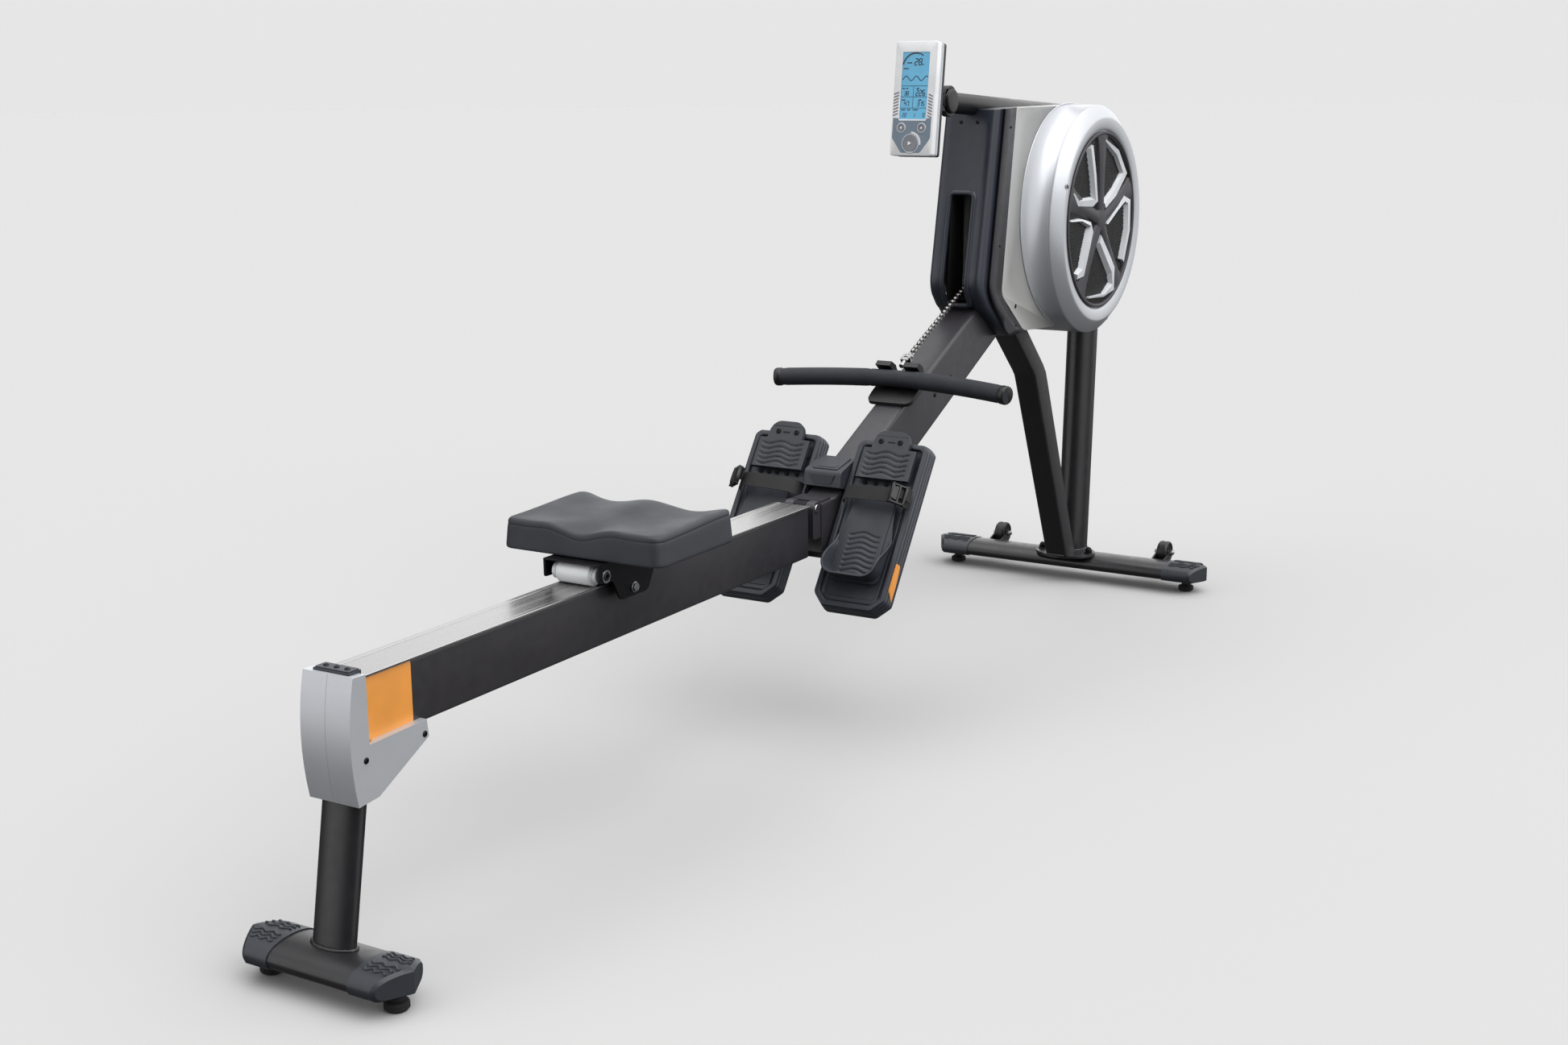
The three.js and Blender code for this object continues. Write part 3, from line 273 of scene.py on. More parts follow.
M = {
    "frame": paint("charcoal_paint", (27, 27, 30), 0.36),
    "beam": paint("beam_paint", (50, 48, 52), 0.40),
    "rail": paint("rail_paint", (44, 42, 46), 0.38),
    "orange": paint("orange_film", (226, 150, 68), 0.38, 500),
    "dark": plastic("dark_plastic", (48, 51, 59), 0.45),
    "cap": plastic("cap_plastic", (42, 45, 52), 0.42, 1100, 0.25),
    "shroud": plastic("shroud_plastic", (42, 46, 57), 0.36, 1700, 0.10),
    # painted shade: a darker, browner copy of the shroud plastic for the housing's flanges and sides
    "shroud_painted_shade": plastic("shroud_painted_shade", (38, 37, 42), 0.40, 1700, 0.12),
    "black": plastic("black_plastic", (20, 20, 22), 0.42, 1300, 0.2),
    # near black: the colour of small black screws and plugs, and painted shade in the slot tunnel, holes,
    # screw recesses and the covers' insides
    "black_and_painted_shade": plastic("black_parts_and_painted_shade", (9, 9, 10), 0.85, 500, 0.2),
    "star": plastic("star_plastic", (52, 50, 55), 0.48, 1500, 0.15),
    "silver": silver_paint("silver_lacquer", (193, 196, 201)),
    "plate": silver_paint("plate_lacquer", (186, 186, 184), 0.4),
    "inlay": plastic("inlay_lacquer", (206, 208, 212), 0.46, 1700, 0.08),
    "white": plastic("white_plastic", (236, 237, 239), 0.32, 1600, 0.08, Coat_Weight=0.2),
    "panel": plastic("panel_grey", (112, 128, 143), 0.4, 1500, 0.1),
    "slash": plastic("slash_grey", (128, 124, 134), 0.4, 1500, 0.1),
    "key": plastic("key_grey", (118, 122, 130), 0.36, 1200, 0.12, Coat_Weight=0.3),
    "light": plastic("light_grey", (196, 199, 204), 0.35, 1200, 0.1),
    "rubber": plastic("foot_rubber", (22, 22, 24), 0.8, 700, 0.4),
    "nylon": plastic("roller_nylon", (214, 215, 216), 0.42, 900, 0.15, Subsurface_Weight=0.1),
    "grip": grip_skin(),
    "seat": skin_foam(),
    "webbing": woven(),
    "lcd": display(),
    "ink": plastic("lcd_ink", (12, 40, 66), 0.3, 800, 0.05),
    "stainless": brushed("stainless_track", (182, 181, 181), 0.3, (2, 700, 700)),
    "steel": brushed("zinc_steel", (172, 174, 178), 0.33, (300, 300, 300)),
    "chain": brushed("chain_steel", (134, 132, 128), 0.36, (500, 500, 500)),
    "dark_steel": brushed("dark_steel", (46, 46, 49), 0.42, (300, 300, 300)),
    "aluminium": brushed("turned_aluminium", (150, 152, 156), 0.36, (350, 350, 350)),
}


# ---------------------------------------------------------------- shape helpers
def bezier(*controls, steps=8):
    """Points of a Bezier curve from its first control point to just before its last."""
    found = []
    for k in range(steps):
        row = [Vector(c) for c in controls]
        while len(row) > 1:
            row = [a.lerp(b, k / steps) for a, b in zip(row, row[1:])]
        found.append(tuple(row[0]))
    return found


def rounded(points, radius, steps=5):
    """An outline whose corners are rounded; radius is one number, or one for each corner."""
    found = []
    for i, corner in enumerate(points):
        reach = radius[i] if isinstance(radius, (list, tuple)) else radius
        here, before, after = Vector(corner), Vector(points[i - 1]), Vector(points[(i + 1) % len(points)])
        if reach <= 0:
            found.append(tuple(here))
            continue
        start = here + (before - here).normalized() * reach
        end = here + (after - here).normalized() * reach
        found += bezier(start, here, end, steps=steps) + [tuple(end)]
    return found


def rectangle(x0, x1, y0, y1, radius=0.0, steps=4):
    return rounded([(x0, y0), (x1, y0), (x1, y1), (x0, y1)], radius, steps)


def arc(centre, radius, start, end, steps):
    """Points on a circle, from one angle to another in degrees."""
    angles = [math.radians(start + (end - start) * i / steps) for i in range(steps + 1)]
    return [(centre[0] + radius * math.cos(a), centre[1] + radius * math.sin(a)) for a in angles]


def loft(rings, ends=True, wrap=True, loop=False):
    """Joins rings of equally many points, one after another."""
    size = len(rings[0])
    points = [tuple(p) for ring in rings for p in ring]
    spans = len(rings) if loop else len(rings) - 1
    faces = []
    for k in range(spans):
        here, after = k * size, (k + 1) % len(rings) * size
        for i in range(size if wrap else size - 1):
            j = (i + 1) % size
            faces.append([here + i, here + j, after + j, after + i])
    if ends and not loop:
        faces += [list(range(size)), list(range(len(points) - size, len(points)))]
    return points, faces


LAY = {
    "xz": lambda a, b, h: (a, h, b),
    "yz": lambda a, b, h: (h, a, b),
    "xy": lambda a, b, h: (a, b, h),
}


def prism(outline, low, high, plane="xz"):
    """A closed solid with one outline, from low to high on the axis that the plane leaves out."""
    return loft([[LAY[plane](a, b, h) for a, b in outline] for h in (low, high)])


def side_plate(outline, side, near, far):
    """A prism with an X-Z outline between two distances from the centre plane, on one side."""
    return prism(outline, *sorted((side * near, side * far)))


def lathe(profile, steps=48, loop=False):
    """Turns [radius, height] pairs about the Z axis; loop joins the last pair to the first."""
    angles = [math.radians(360 * i / steps) for i in range(steps)]
    rings = [[(r * math.cos(a), r * math.sin(a), h) for a in angles] for r, h in profile]
    return loft(rings, ends=not loop, loop=loop)


def capped_arc(profile, steps, start, turn):
    """A closed profile turned part of the way about Z, with flat ends."""
    angles = [math.radians(start + turn * i / steps) for i in range(steps + 1)]
    return loft([[(r * math.cos(a), r * math.sin(a), h) for r, h in profile] for a in angles])


def disc(radius, thick, low=0.0):
    """A round plate about the Z axis."""
    return [(0, low), (radius, low), (radius, low + thick), (0, low + thick)]


def sweep(path, section, up=(0, 0, 1), ends=True):
    """A section, or one for each point, carried along a path; section X lies across it and Y towards up."""
    path = [Vector(p) for p in path]
    rings = []
    for i, here in enumerate(path):
        run = direction_at(path, i)
        level = run.cross(Vector(up)).normalized()
        rise = level.cross(run)
        flat = section[i] if isinstance(section[0][0], (list, tuple)) else section
        rings.append([here + level * a + rise * b for a, b in flat])
    return loft(rings, ends=ends)


def circle(radius, sides=16):
    return arc((0, 0), radius, 0, 360 - 360 / sides, sides - 1)


def block(x0, x1, y0, y1, z0, z1):
    return prism(rectangle(x0, x1, y0, y1), z0, z1, "xy")


def across(x, z, side=1):
    """Moves the Z axis onto the Y axis at an X-Z point, towards one side."""
    return Matrix.Translation((x, 0, z)) @ ABOUT_Y @ Matrix.Rotation(0 if side > 0 else math.pi, 4, "X")


def direction_at(line, i):
    """The direction of a line at one of its points, from the points on either side."""
    return (Vector(line[min(i + 1, len(line) - 1)]) - Vector(line[max(i - 1, 0)])).normalized()


def turn_to(direction, place=(0, 0, 0)):
    """Moves the Z axis onto a direction at a place."""
    return Matrix.Translation(place) @ Vector(direction).to_track_quat("Z", "Y").to_matrix().to_4x4()


class Shape:
    """Points and faces in stations, collected from simple solids; shade picks the face's material."""

    def __init__(self):
        self.points, self.faces, self.shades = [], [], []

    def add(self, solid, place=Matrix(), shade=0):
        points, faces = solid
        start = len(self.points)
        self.points += [place @ Vector(p) for p in points]
        self.faces += [[start + i for i in face] for face in faces]
        self.shades += [shade] * len(faces)
        return self

    def rod(self, radius, start, end, shade=0, sides=32, lip=0.0):
        """A round bar with softened ends."""
        run = Vector(end) - Vector(start)
        long = run.length
        profile = [(0, 0), (radius - lip, 0), (radius, lip), (radius, long - lip), (radius - lip, long),
                   (0, long)]
        return self.add(lathe(profile, sides), turn_to(run, start), shade)

    def ridges(self, count, solid, hub, shade=0):
        """The same solid count times round the Z axis of a hub."""
        for k in range(count):
            self.add(solid, hub @ Matrix.Rotation(math.radians(360 * k / count), 4, "Z"), shade)
        return self

    def screw(self, place, direction, radius=4.0, shade=0, height=1.6):
        """A button-head screw with its hexagon socket."""
        socket = [(radius * 0.42, height), (radius * 0.42, height * 0.35), (0, height * 0.35)]
        dome = [(radius, -0.6), (radius, height * 0.35), (radius * 0.8, height * 0.85),
                (radius * 0.5, height)]
        return self.add(lathe(dome + socket, 18), turn_to(direction, place), shade)


CREASE = 38  # degrees between faces above which an edge is shaded sharp


def finished(name, mesh, bevel, crease):
    """Welds a mesh, turns its faces outward and makes its object, with edges rounded by bevel millimetres."""
    work = bmesh.new()
    work.from_mesh(mesh)
    bmesh.ops.remove_doubles(work, verts=work.verts, dist=2e-6)
    bmesh.ops.dissolve_degenerate(work, edges=work.edges, dist=2e-6)
    bmesh.ops.recalc_face_normals(work, faces=work.faces)
    work.to_mesh(mesh)
    work.free()
    mesh.polygons.foreach_set("use_smooth", [True] * len(mesh.polygons))
    obj = bpy.data.objects.new(name, mesh)
    bpy.context.scene.collection.objects.link(obj)
    if bevel:
        edge = obj.modifiers.new("edges", "BEVEL")
        edge.width = bevel / 1000
        edge.segments = 3
        edge.limit_method = "ANGLE"
        edge.angle_limit = math.radians(32)
        edge.miter_outer = "MITER_ARC"
        obj.modifiers.new("shading", "WEIGHTED_NORMAL")
    else:
        mesh.set_sharp_from_angle(angle=math.radians(crease))
    return obj


def piece(name, shape, body, looks, nodes=(), bevel=0.0, crease=CREASE, levels=0):
    """Makes one named piece from a shape in stations and puts it on its body."""
    mesh = bpy.data.meshes.new(name)
    mesh.from_pydata([tuple(STATION @ Vector(p)) for p in shape.points], [], shape.faces)
    for look in looks:
        mesh.materials.append(M[look])
    mesh.polygons.foreach_set("material_index", shape.shades)
    obj = finished(name, mesh, bevel, crease)
    if levels:
        obj.modifiers.new("surface", "SUBSURF").levels = levels
        obj.modifiers["surface"].render_levels = levels
    if body:
        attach(obj, body)
    if nodes:
        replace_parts(obj, *nodes)
    return obj


def refined(node, body, look, bevel):
    """A copy of a CAD node's own shape with clean faces and rounded edges."""
    mesh = frame["nodes"][node].data.copy()
    mesh.materials.clear()
    mesh.materials.append(M[look])
    work = bmesh.new()
    work.from_mesh(mesh)
    bmesh.ops.remove_doubles(work, verts=work.verts, dist=2e-5)
    bmesh.ops.dissolve_limit(work, angle_limit=math.radians(1), verts=work.verts, edges=work.edges)
    for face in work.faces:
        face.material_index = 0
    work.to_mesh(mesh)
    work.free()
    mesh.normals_split_custom_set_from_vertices([(0, 0, 0)] * len(mesh.vertices))
    obj = finished("fine_" + node, mesh, bevel, CREASE)
    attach(obj, body)
    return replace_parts(obj, node)


def section(low, high, half, radius):
    """A rounded rectangle that stands on the line between two X-Z points and is 2 * half wide."""
    start, end = Vector(low), Vector(high)
    length = (end - start).length
    run = (end - start) / length
    spots = [(start + run * t, y) for t, y in rectangle(0, length, -half, half, radius)]
    return [(spot.x, y, spot.y) for spot, y in spots]


def relief_plate(u_range, v_range, counts, height, base):
    """A closed plate in its own X-Y plane whose top follows height(u, v)."""
    (u0, u1), (v0, v1), (nu, nv) = u_range, v_range, counts
    us = [u0 + (u1 - u0) * i / nu for i in range(nu + 1)]
    vs = [v0 + (v1 - v0) * j / nv for j in range(nv + 1)]
    points = [(u, v, height(u, v)) for u in us for v in vs] + [(u, v, base) for u in us for v in vs]
    row, layer = nv + 1, (nu + 1) * (nv + 1)
    faces = []
    for i in range(nu):
        for j in range(nv):
            k = i * row + j
            faces.append([k, k + 1, k + row + 1, k + row])
    rim = list(range(row)) + [i * row + nv for i in range(1, nu + 1)]
    rim += [nu * row + j for j in range(nv - 1, -1, -1)] + [i * row for i in range(nu - 1, 0, -1)]
    faces += [[a, b, b + layer, a + layer] for a, b in zip(rim, rim[1:] + rim[:1])]
    faces.append([k + layer for k in rim])
    return points, faces


def step(value, low, high):
    """Rises smoothly from 0 at low to 1 at high."""
    t = max(0.0, min(1.0, (value - low) / (high - low)))
    return t * t * (3 - 2 * t)


def bell(value, centre, width):
    return math.exp(-(((value - centre) / width) ** 2))


# ---------------------------------------------------------------- floor bars
def bar_ring(x, y, more=0.0, end=0):
    """The arched section of a floor bar; end bends its plan into two faces that meet at y."""
    half, low, shoulder = BAR["half"] + more, BAR["low"] - more, BAR["low"] + 13
    right = bezier((0, low), (half - 14, low), steps=2)
    right += bezier((half - 14, low), (half, low), (half, shoulder))
    right += bezier((half, shoulder), (half, BAR["top"] - 8 + more), (half * 0.6, BAR["top"] + more),
                    (0, BAR["top"] + more), steps=14) + [(0, BAR["top"] + more)]
    ring = right + [(-dx, z) for dx, z in reversed(right[1:-1])]
    return [(x + dx, y - end * abs(dx) / half, z) for dx, z in ring]


def weld(x, y_half, x_half, height, name, body):
    """A weld bead round a post's foot, on the arched top of a bar."""
    places = [(x + dx * x_half, dy * y_half) for dx, dy in circle(1, 48)]
    path = [Vector((px, py, height(px))) for px, py in places]
    rings = []
    for i, here in enumerate(path):
        run = (path[(i + 1) % len(path)] - path[i - 1]).normalized()
        out = run.cross(Vector((0, 0, 1))).normalized()
        size = 2.6 + 0.35 * math.sin(i * 2.1)
        rings.append([here + out * a * size + Vector((0, 0, b)) * size for a, b in circle(1, 8)])
    piece(name, Shape().add(loft(rings, loop=True)), body, ["frame"], crease=60)


def arch(x, centre):
    """Height of a floor bar's arched top."""
    shoulder = BAR["low"] + 13
    share = max(0.0, 1 - abs((x - centre) / BAR["half"]) ** 2.3) ** 0.62
    return shoulder + (BAR["top"] - shoulder) * share


def along(line, distance, out):
    """The point at a distance along a line that runs down from a crown, moved off it by out."""
    for here, after in zip(line, line[1:]):
        span = (after - here).length
        if distance <= span:
            break
        distance -= span
    run = (after - here).normalized()
    at = here + run * distance
    return at.x - run.y * out, at.y + run.x * out


def floor_caps():
    """End caps with a two-faced end and wavy grip ribs along their shoulders."""
    for label, side in SIDES:
        for place, body, near, far in (("rear", "rail", 66, 132), ("front", "frame", 228, 314)):
            x = BAR[place]
            shape = Shape()
            over = [Vector((px - x, pz)) for px, _, pz in bar_ring(x, 0, 1.5)]
            top = max(over, key=lambda point: point.y)
            crown = over[:over.index(top) + 1][::-1]
            ends = [(near, 0.2, 0), (near, 1.5, 0), (near + 3, 1.5, 0), (far - 30, 1.5, 0),
                    (far - 6, 1.5, 24), (far, -1.5, 24)]
            rings = [bar_ring(x, y, more, bend) for y, more, bend in ends]
            shape.add(loft([[(px, side * py, pz) for px, py, pz in ring] for ring in rings], ends=False))
            last = [(px, side * py, pz) for px, py, pz in bar_ring(x, far, -1.5, 24)]
            first = [(px, side * py, pz) for px, py, pz in bar_ring(x, near, 0.2)]
            size = len(last)
            ladder = [[k, k + 1, size - k - 1, (size - k) % size] for k in range(size // 2)]
            spine = [(x, side * far, last[k][2]) for k in range(size // 2 + 1)]
            points = last + spine
            halves = []
            for k in range(size // 2):
                halves.append([k, k + 1, size + k + 1, size + k])
                halves.append([size + k, size + k + 1, size - k - 1, (size - k) % size])
            shape.add((points, halves)).add((first, ladder))
            for edge in (-1, 1):
                for row in range(3):
                    path = []
                    for i in range(49):
                        dx, z = along(crown, 8 + 7.4 * row + 2.2 * math.sin(i * math.pi / 10), 0.4)
                        span = far - near - 17 - 24 * dx / BAR["half"]
                        path.append((x + edge * dx, side * (near + 9 + span * i / 48), z))
                    shape.add(sweep(path, circle(1.7, 8)))
            piece(f"floor_cap_{place}_{label}", shape, body, ["cap"],
                  [f"{place}_foot_cap_{label}"], crease=30)


def floor_bars():
    """The two floor bars; the front one carries the wheels between welded lugs."""
    for place, body, reach in (("rear", "rail", 65.7), ("front", "frame", 227.7)):
        x = BAR[place]
        shape = Shape().add(loft([bar_ring(x, -reach), bar_ring(x, reach)]))
        if place == "front":
            for _, side in SIDES:
                for y in (179.5, 206.5):
                    lug = rounded([(x + 30, 33), (2386, 52), (2386, 67), (x + 30, 52)], [0, 7, 7, 0])
                    shape.add(side_plate(lug, side, y - 1.5, y + 1.5))
                shape.rod(4, (WHEEL.x, side * 177, WHEEL.z), (WHEEL.x, side * 209, WHEEL.z), 1)
                for y, way in ((208, 1), (178, -1)):
                    nut = turn_to((0, side * way, 0), (WHEEL.x, side * y, WHEEL.z))
                    shape.add(prism(circle(6.5, 6), 0, 4, "xy"), nut, 1)
                    shape.add(lathe([(4.4, 4), (3.4, 6.5), (0, 7.6)], 20), nut, 1)
        piece(f"floor_bar_{place}", shape, body, ["frame", "steel"], [f"{place}_foot_tube"])


def levelling_feet():
    profile = [(0, 0), (12, 0), (14, 0.8), (15.6, 2.6), (16, 4), (15.2, 5), (16, 6), (15.2, 7), (16, 8),
               (15.6, 10.2), (14, 11.7), (11, 12), (9, 12.4), (9, 24), (0, 24)]
    for label, side in SIDES:
        for place, y in (("rear", 102), ("front", 269)):
            spot = Matrix.Translation((BAR[place], side * y, 0))
            shape = Shape().add(lathe(profile, 40), spot).ridges(12, block(14.4, 16, -1.6, 1.6, 3, 9.5), spot)
            piece(f"rubber_foot_{place}_{label}", shape, f"{place}_{label}_pad", ["rubber"],
                  [f"levelling_foot_{place}_{label}"], crease=30)


def transport_wheels():
    tread = [(4.4, -11), (7, -11), (7.6, -9), (18, -9), (19, -11), (21.5, -11), (23.4, -9.4), (24, -7),
             (24, -3), (23.2, -2.4), (23.2, 2.4), (24, 3), (24, 7), (23.4, 9.4), (21.5, 11), (19, 11),
             (18, 9), (7.6, 9), (7, 11), (4.4, 11)]
    for label, side in SIDES:
        hub = Matrix.Translation((WHEEL.x, side * WHEEL.y, WHEEL.z)) @ ABOUT_Y
        shape = Shape().add(lathe(tread, 56, loop=True), hub)
        shape.ridges(6, block(7.2, 18.6, -1.2, 1.2, -10.2, 10.2), hub)
        piece(f"wheel_{label}", shape, f"{label}_wheel", ["black"],
              [f"transport_wheel_{label}"])


# ---------------------------------------------------------------- rail and rear leg
def slide_rail():
    """The rail with its coloured band, and the stainless track that the seat rolls on."""
    low, high, half = RAIL["low"], RAIL["top"], RAIL["half"]
    rings = [section((x, low), (x, high), half, 5) for x in (RAIL["rear"], RAIL["front"])]
    piece("rail_body", Shape().add(loft(rings)), "rail", ["rail"], ["slide_rail"], crease=50)

    band = [section((x, low - 0.35), (x, high + 0.2), half + 0.35, 5.3) for x in (50.7, 51.2, 135, 135.5)]
    inner = [section((x, low), (x, high), half, 5) for x in (135.5, 50.7)]
    piece("rail_band", Shape().add(loft(band + inner, loop=True)), "rail", ["orange"],
          crease=50)

    low, high, half = TRACK["low"], TRACK["top"], TRACK["half"]
    face = [(-half, low), (half, low), (half, high - 0.8), (half - 0.8, high), (25, high),
            (24.2, high - 0.7), (-24.2, high - 0.7), (-25, high), (-half + 0.8, high), (-half, high - 0.8)]
    track = Shape().add(prism(face, TRACK["rear"], RAIL["front"], "yz"))
    piece("running_track", track, "rail", ["stainless"], ["rail_track"], crease=20)


def rear_leg():
    """The leaning oval post, the housing halves on top of it and the end block."""
    lean = math.tan(math.radians(10.3))
    rings = [[(lean * z - 4.1 + 14.7 * a, 33.5 * b, z) for a, b in circle(1, 64)] for z in (50, 303.7)]
    piece("post_rear", Shape().add(loft(rings)), "rail", ["frame"], ["rear_post"])
    weld(6.3, 34.2, 15.6, lambda x: arch(x, 0) + 0.6, "weld_rear_post", "rail")

    screws = Shape()
    for x, z in ((37.6, 291), (143.3, 293)):
        for _, side in SIDES:
            screws.screw((x, side * 40, z), (0, side, 0), 4.2)
    piece("housing_screws", screws, "rail", ["dark_steel"])
    for label, _ in SIDES:
        refined(f"rear_housing_{label}", "rail", "silver", 1.6)

    cap = Shape().add(prism(rectangle(RAIL["rear"] + 0.3, 50.2, -28.7, 28.7, 1), 390.6, 400.4, "xy"))
    cap.add(prism(rectangle(RAIL["rear"] + 2, 48.6, -27, 27, 2), 400.4, 401.9, "xy"))
    for y in (-17, 0, 17):
        cap.screw((39, y, 401.9), (0, 0, 1), 3.6, 1)
    piece("end_block", cap, "rail", ["dark", "dark_steel"], ["rear_top_block"], bevel=1.2)


def fold_hinge():
    """The rail's bracket, the pin that it turns on and the knob of the spring pin that locks it."""
    refined("rail_hinge_bracket", "rail", "dark_steel", 0.8)
    pin = Shape().rod(5, (HINGE.x, -30, HINGE.z), (HINGE.x, 30, HINGE.z), lip=0.8)
    for _, side in SIDES:
        head = lathe([(0, 0), (7.4, 0), (7.4, 1.2), (6.4, 2.2), (0, 2.2)], 32)
        pin.add(head, turn_to((0, side, 0), (HINGE.x, side * 28.2, HINGE.z)))
    piece("fold_pin", pin, "frame", ["stainless"], ["hinge_pin"])

    knob = [(0, 12.5), (3.6, 12.5), (5, 14.5), (5, 29), (10, 29), (12, 30.5), (12, 34.5), (10.6, 36), (0, 36)]
    spot = across(HINGE.x, LOCK_HEIGHT)
    lock = Shape().add(lathe(knob, 40), spot).ridges(12, block(10.6, 12.1, -1.3, 1.3, 30.6, 34.4), spot)
    piece("lock_knob", lock, "lock_pin", ["black"], ["fold_lock_pin"])


# ---------------------------------------------------------------- seat
def pad_height(x, y):
    """Height of the seat's top: a sit hollow, a front hump between two thigh grooves and a tail dip."""
    a, b = (x - PAD["x"]) / PAD["long"], abs(y) / PAD["wide"]
    height = 474 - 5 * bell(a, -0.15, 0.6) * bell(b, 0.42, 0.36)
    height += 5 * step(b, 0.62, 0.98) * step(a, -0.9, 0.7)
    height += 7 * bell(b, 0, 0.24) * bell(a, 0.62, 0.5)
    height -= 3 * bell(b, 0.5, 0.2) * step(a, 0.2, 0.9)
    height -= 11 * bell(b, 0, 0.22) * step(-a, 0.2, 1.0)
    height += 2 * bell(b, 0.42, 0.12) * step(-a, 0.5, 1)
    return height - 6 * step(a, 0.74, 1.02) * (1 - step(b, 0.72, 0.98))


def pad_outline():
    """The pad's plan about its middle, with evenly spaced points between small round corners."""
    radius, found = 19, []
    long, wide = PAD["long"] - radius, PAD["wide"] - radius
    corners = [Vector(corner) for corner in ((-long, -wide), (long, -wide), (long, wide), (-long, wide))]
    for k, middle in enumerate(corners):
        found += [Vector(p) for p in arc(middle, radius, 180 + 90 * k, 270 + 90 * k, 7)]
        after = corners[(k + 1) % 4]
        out = Vector(arc((0, 0), radius, 270 + 90 * k, 270 + 90 * k, 1)[0])
        found += [(middle + out).lerp(after + out, i / 20) for i in range(1, 20)]
    return found


def seat_pad():
    """The cushion: rings from the middle of its top, over the rim and down its creased, flared wall."""
    top = [(0.02, 0), (0.14, 0), (0.28, 0), (0.42, 0), (0.55, 0), (0.66, 0), (0.76, 0), (0.84, 0),
           (0.895, 0), (0.925, -0.2), (0.948, -1.0), (0.963, -2.4), (0.972, -4.6), (0.976, -8.0),
           (0.972, -9.0), (0.973, -9.8), (0.979, -11)]
    wall = [(0.988, 0.55), (0.996, 0.2), (0.998, 0.09), (0.994, 0.03), (0.984, 0), (0.9, 0), (0.5, 0),
            (0.02, 0)]
    rings = []
    for share, drop in top + wall:
        ring = []
        for px, py in pad_outline():
            x, y = PAD["x"] + px * share, py * share
            if (share, drop) in top:
                z = pad_height(x, y) + drop
            else:
                edge = pad_height(PAD["x"] + px * 0.979, py * 0.979) - 11
                z = PAD["low"] + (edge - PAD["low"]) * drop
            ring.append((x, y, z))
        rings.append(ring)
    pad = piece("seat_cushion", Shape().add(loft(rings)), "seat", ["seat"], ["seat_pad"],
                crease=80, levels=1)


def seat_carriage():
    """Pressed steel carriage, axles, nylon rollers and guide rollers under the seat."""
    x, base, axle, guide = SEAT["x"], SEAT["base"], SEAT["axle"], SEAT["guide"]
    plate = [(x - 84, 428.4), (x - 84, axle - 8), (x - 52, axle - 9), (x - 34, guide - 12),
             (x + 34, guide - 12), (x + 52, axle - 9), (x + 84, axle - 8), (x + 84, 428.4)]
    shape = Shape().add(block(x - 84, x + 84, -47.8, 47.8, 426.2, 428.7))
    for _, side in SIDES:
        shape.add(side_plate(rounded(plate, [0, 4, 6, 8, 8, 6, 4, 0]), side, 45, 48))
        shape.rod(3.6, (x, side * 29.7, guide), (x, side * 50, guide), 1)
        spot = turn_to((0, side, 0), (x, side * 48, guide))
        shape.add(lathe([(0, 0), (8, 0), (8, 1), (7.4, 1.4), (0, 1.4)], 32), spot, 1)
        shape.add(prism(circle(6.6, 6), 1.4, 4.6, "xy"), spot, 1)
    for offset in (-base, base):
        for _, side in SIDES:
            tube = [(3.4, 36), (6, 36), (6, 50), (5.6, 50.6), (3.8, 50.6), (3.4, 50)]
            spot = across(x + offset, axle, side)
            shape.add(lathe(tube, 32, loop=True), spot, 2)
            shape.add(lathe([(6.3, 48), (9.5, 48), (9.5, 49.2), (6.3, 49.2)], 32, loop=True), spot, 1)
        shape.rod(5, (x + offset, -40, axle), (x + offset, 40, axle), 1)
    piece("carriage", shape, "seat", ["dark_steel", "steel", "black"], ["seat_carriage"],
          bevel=0.5)

    tread = [(6.4, -38), (11, -38), (12, -37), (12, -29.5), (14.6, -28.6), (16, -27), (16, 27), (14.6, 28.6),
             (12, 29.5), (12, 37), (11, 38), (6.4, 38)]
    for label, offset in (("rear", -base), ("front", base)):
        spot = across(x + offset, axle)
        roller = Shape().add(lathe(tread, 56, loop=True), spot)
        for y in (-31, 31):
            ring = [(12.2, y - 1.2), (13.4, y - 0.6), (13.4, y + 0.6), (12.2, y + 1.2)]
            roller.add(lathe(ring, 40, loop=True), spot)
        piece(f"roller_{label}", roller, f"{label}_roller", ["nylon"],
              [f"seat_roller_{label}"])
    small = [(3.9, 30.2), (8.4, 30.2), (9, 30.9), (9, 40.3), (8.4, 41), (3.9, 41)]
    for label, side in SIDES:
        roller = Shape().add(lathe([(r, side * y) for r, y in small], 40, loop=True), across(x, guide))
        piece(f"guide_{label}", roller, f"{label}_guide_roller", ["nylon"],
              [f"guide_roller_{label}"])


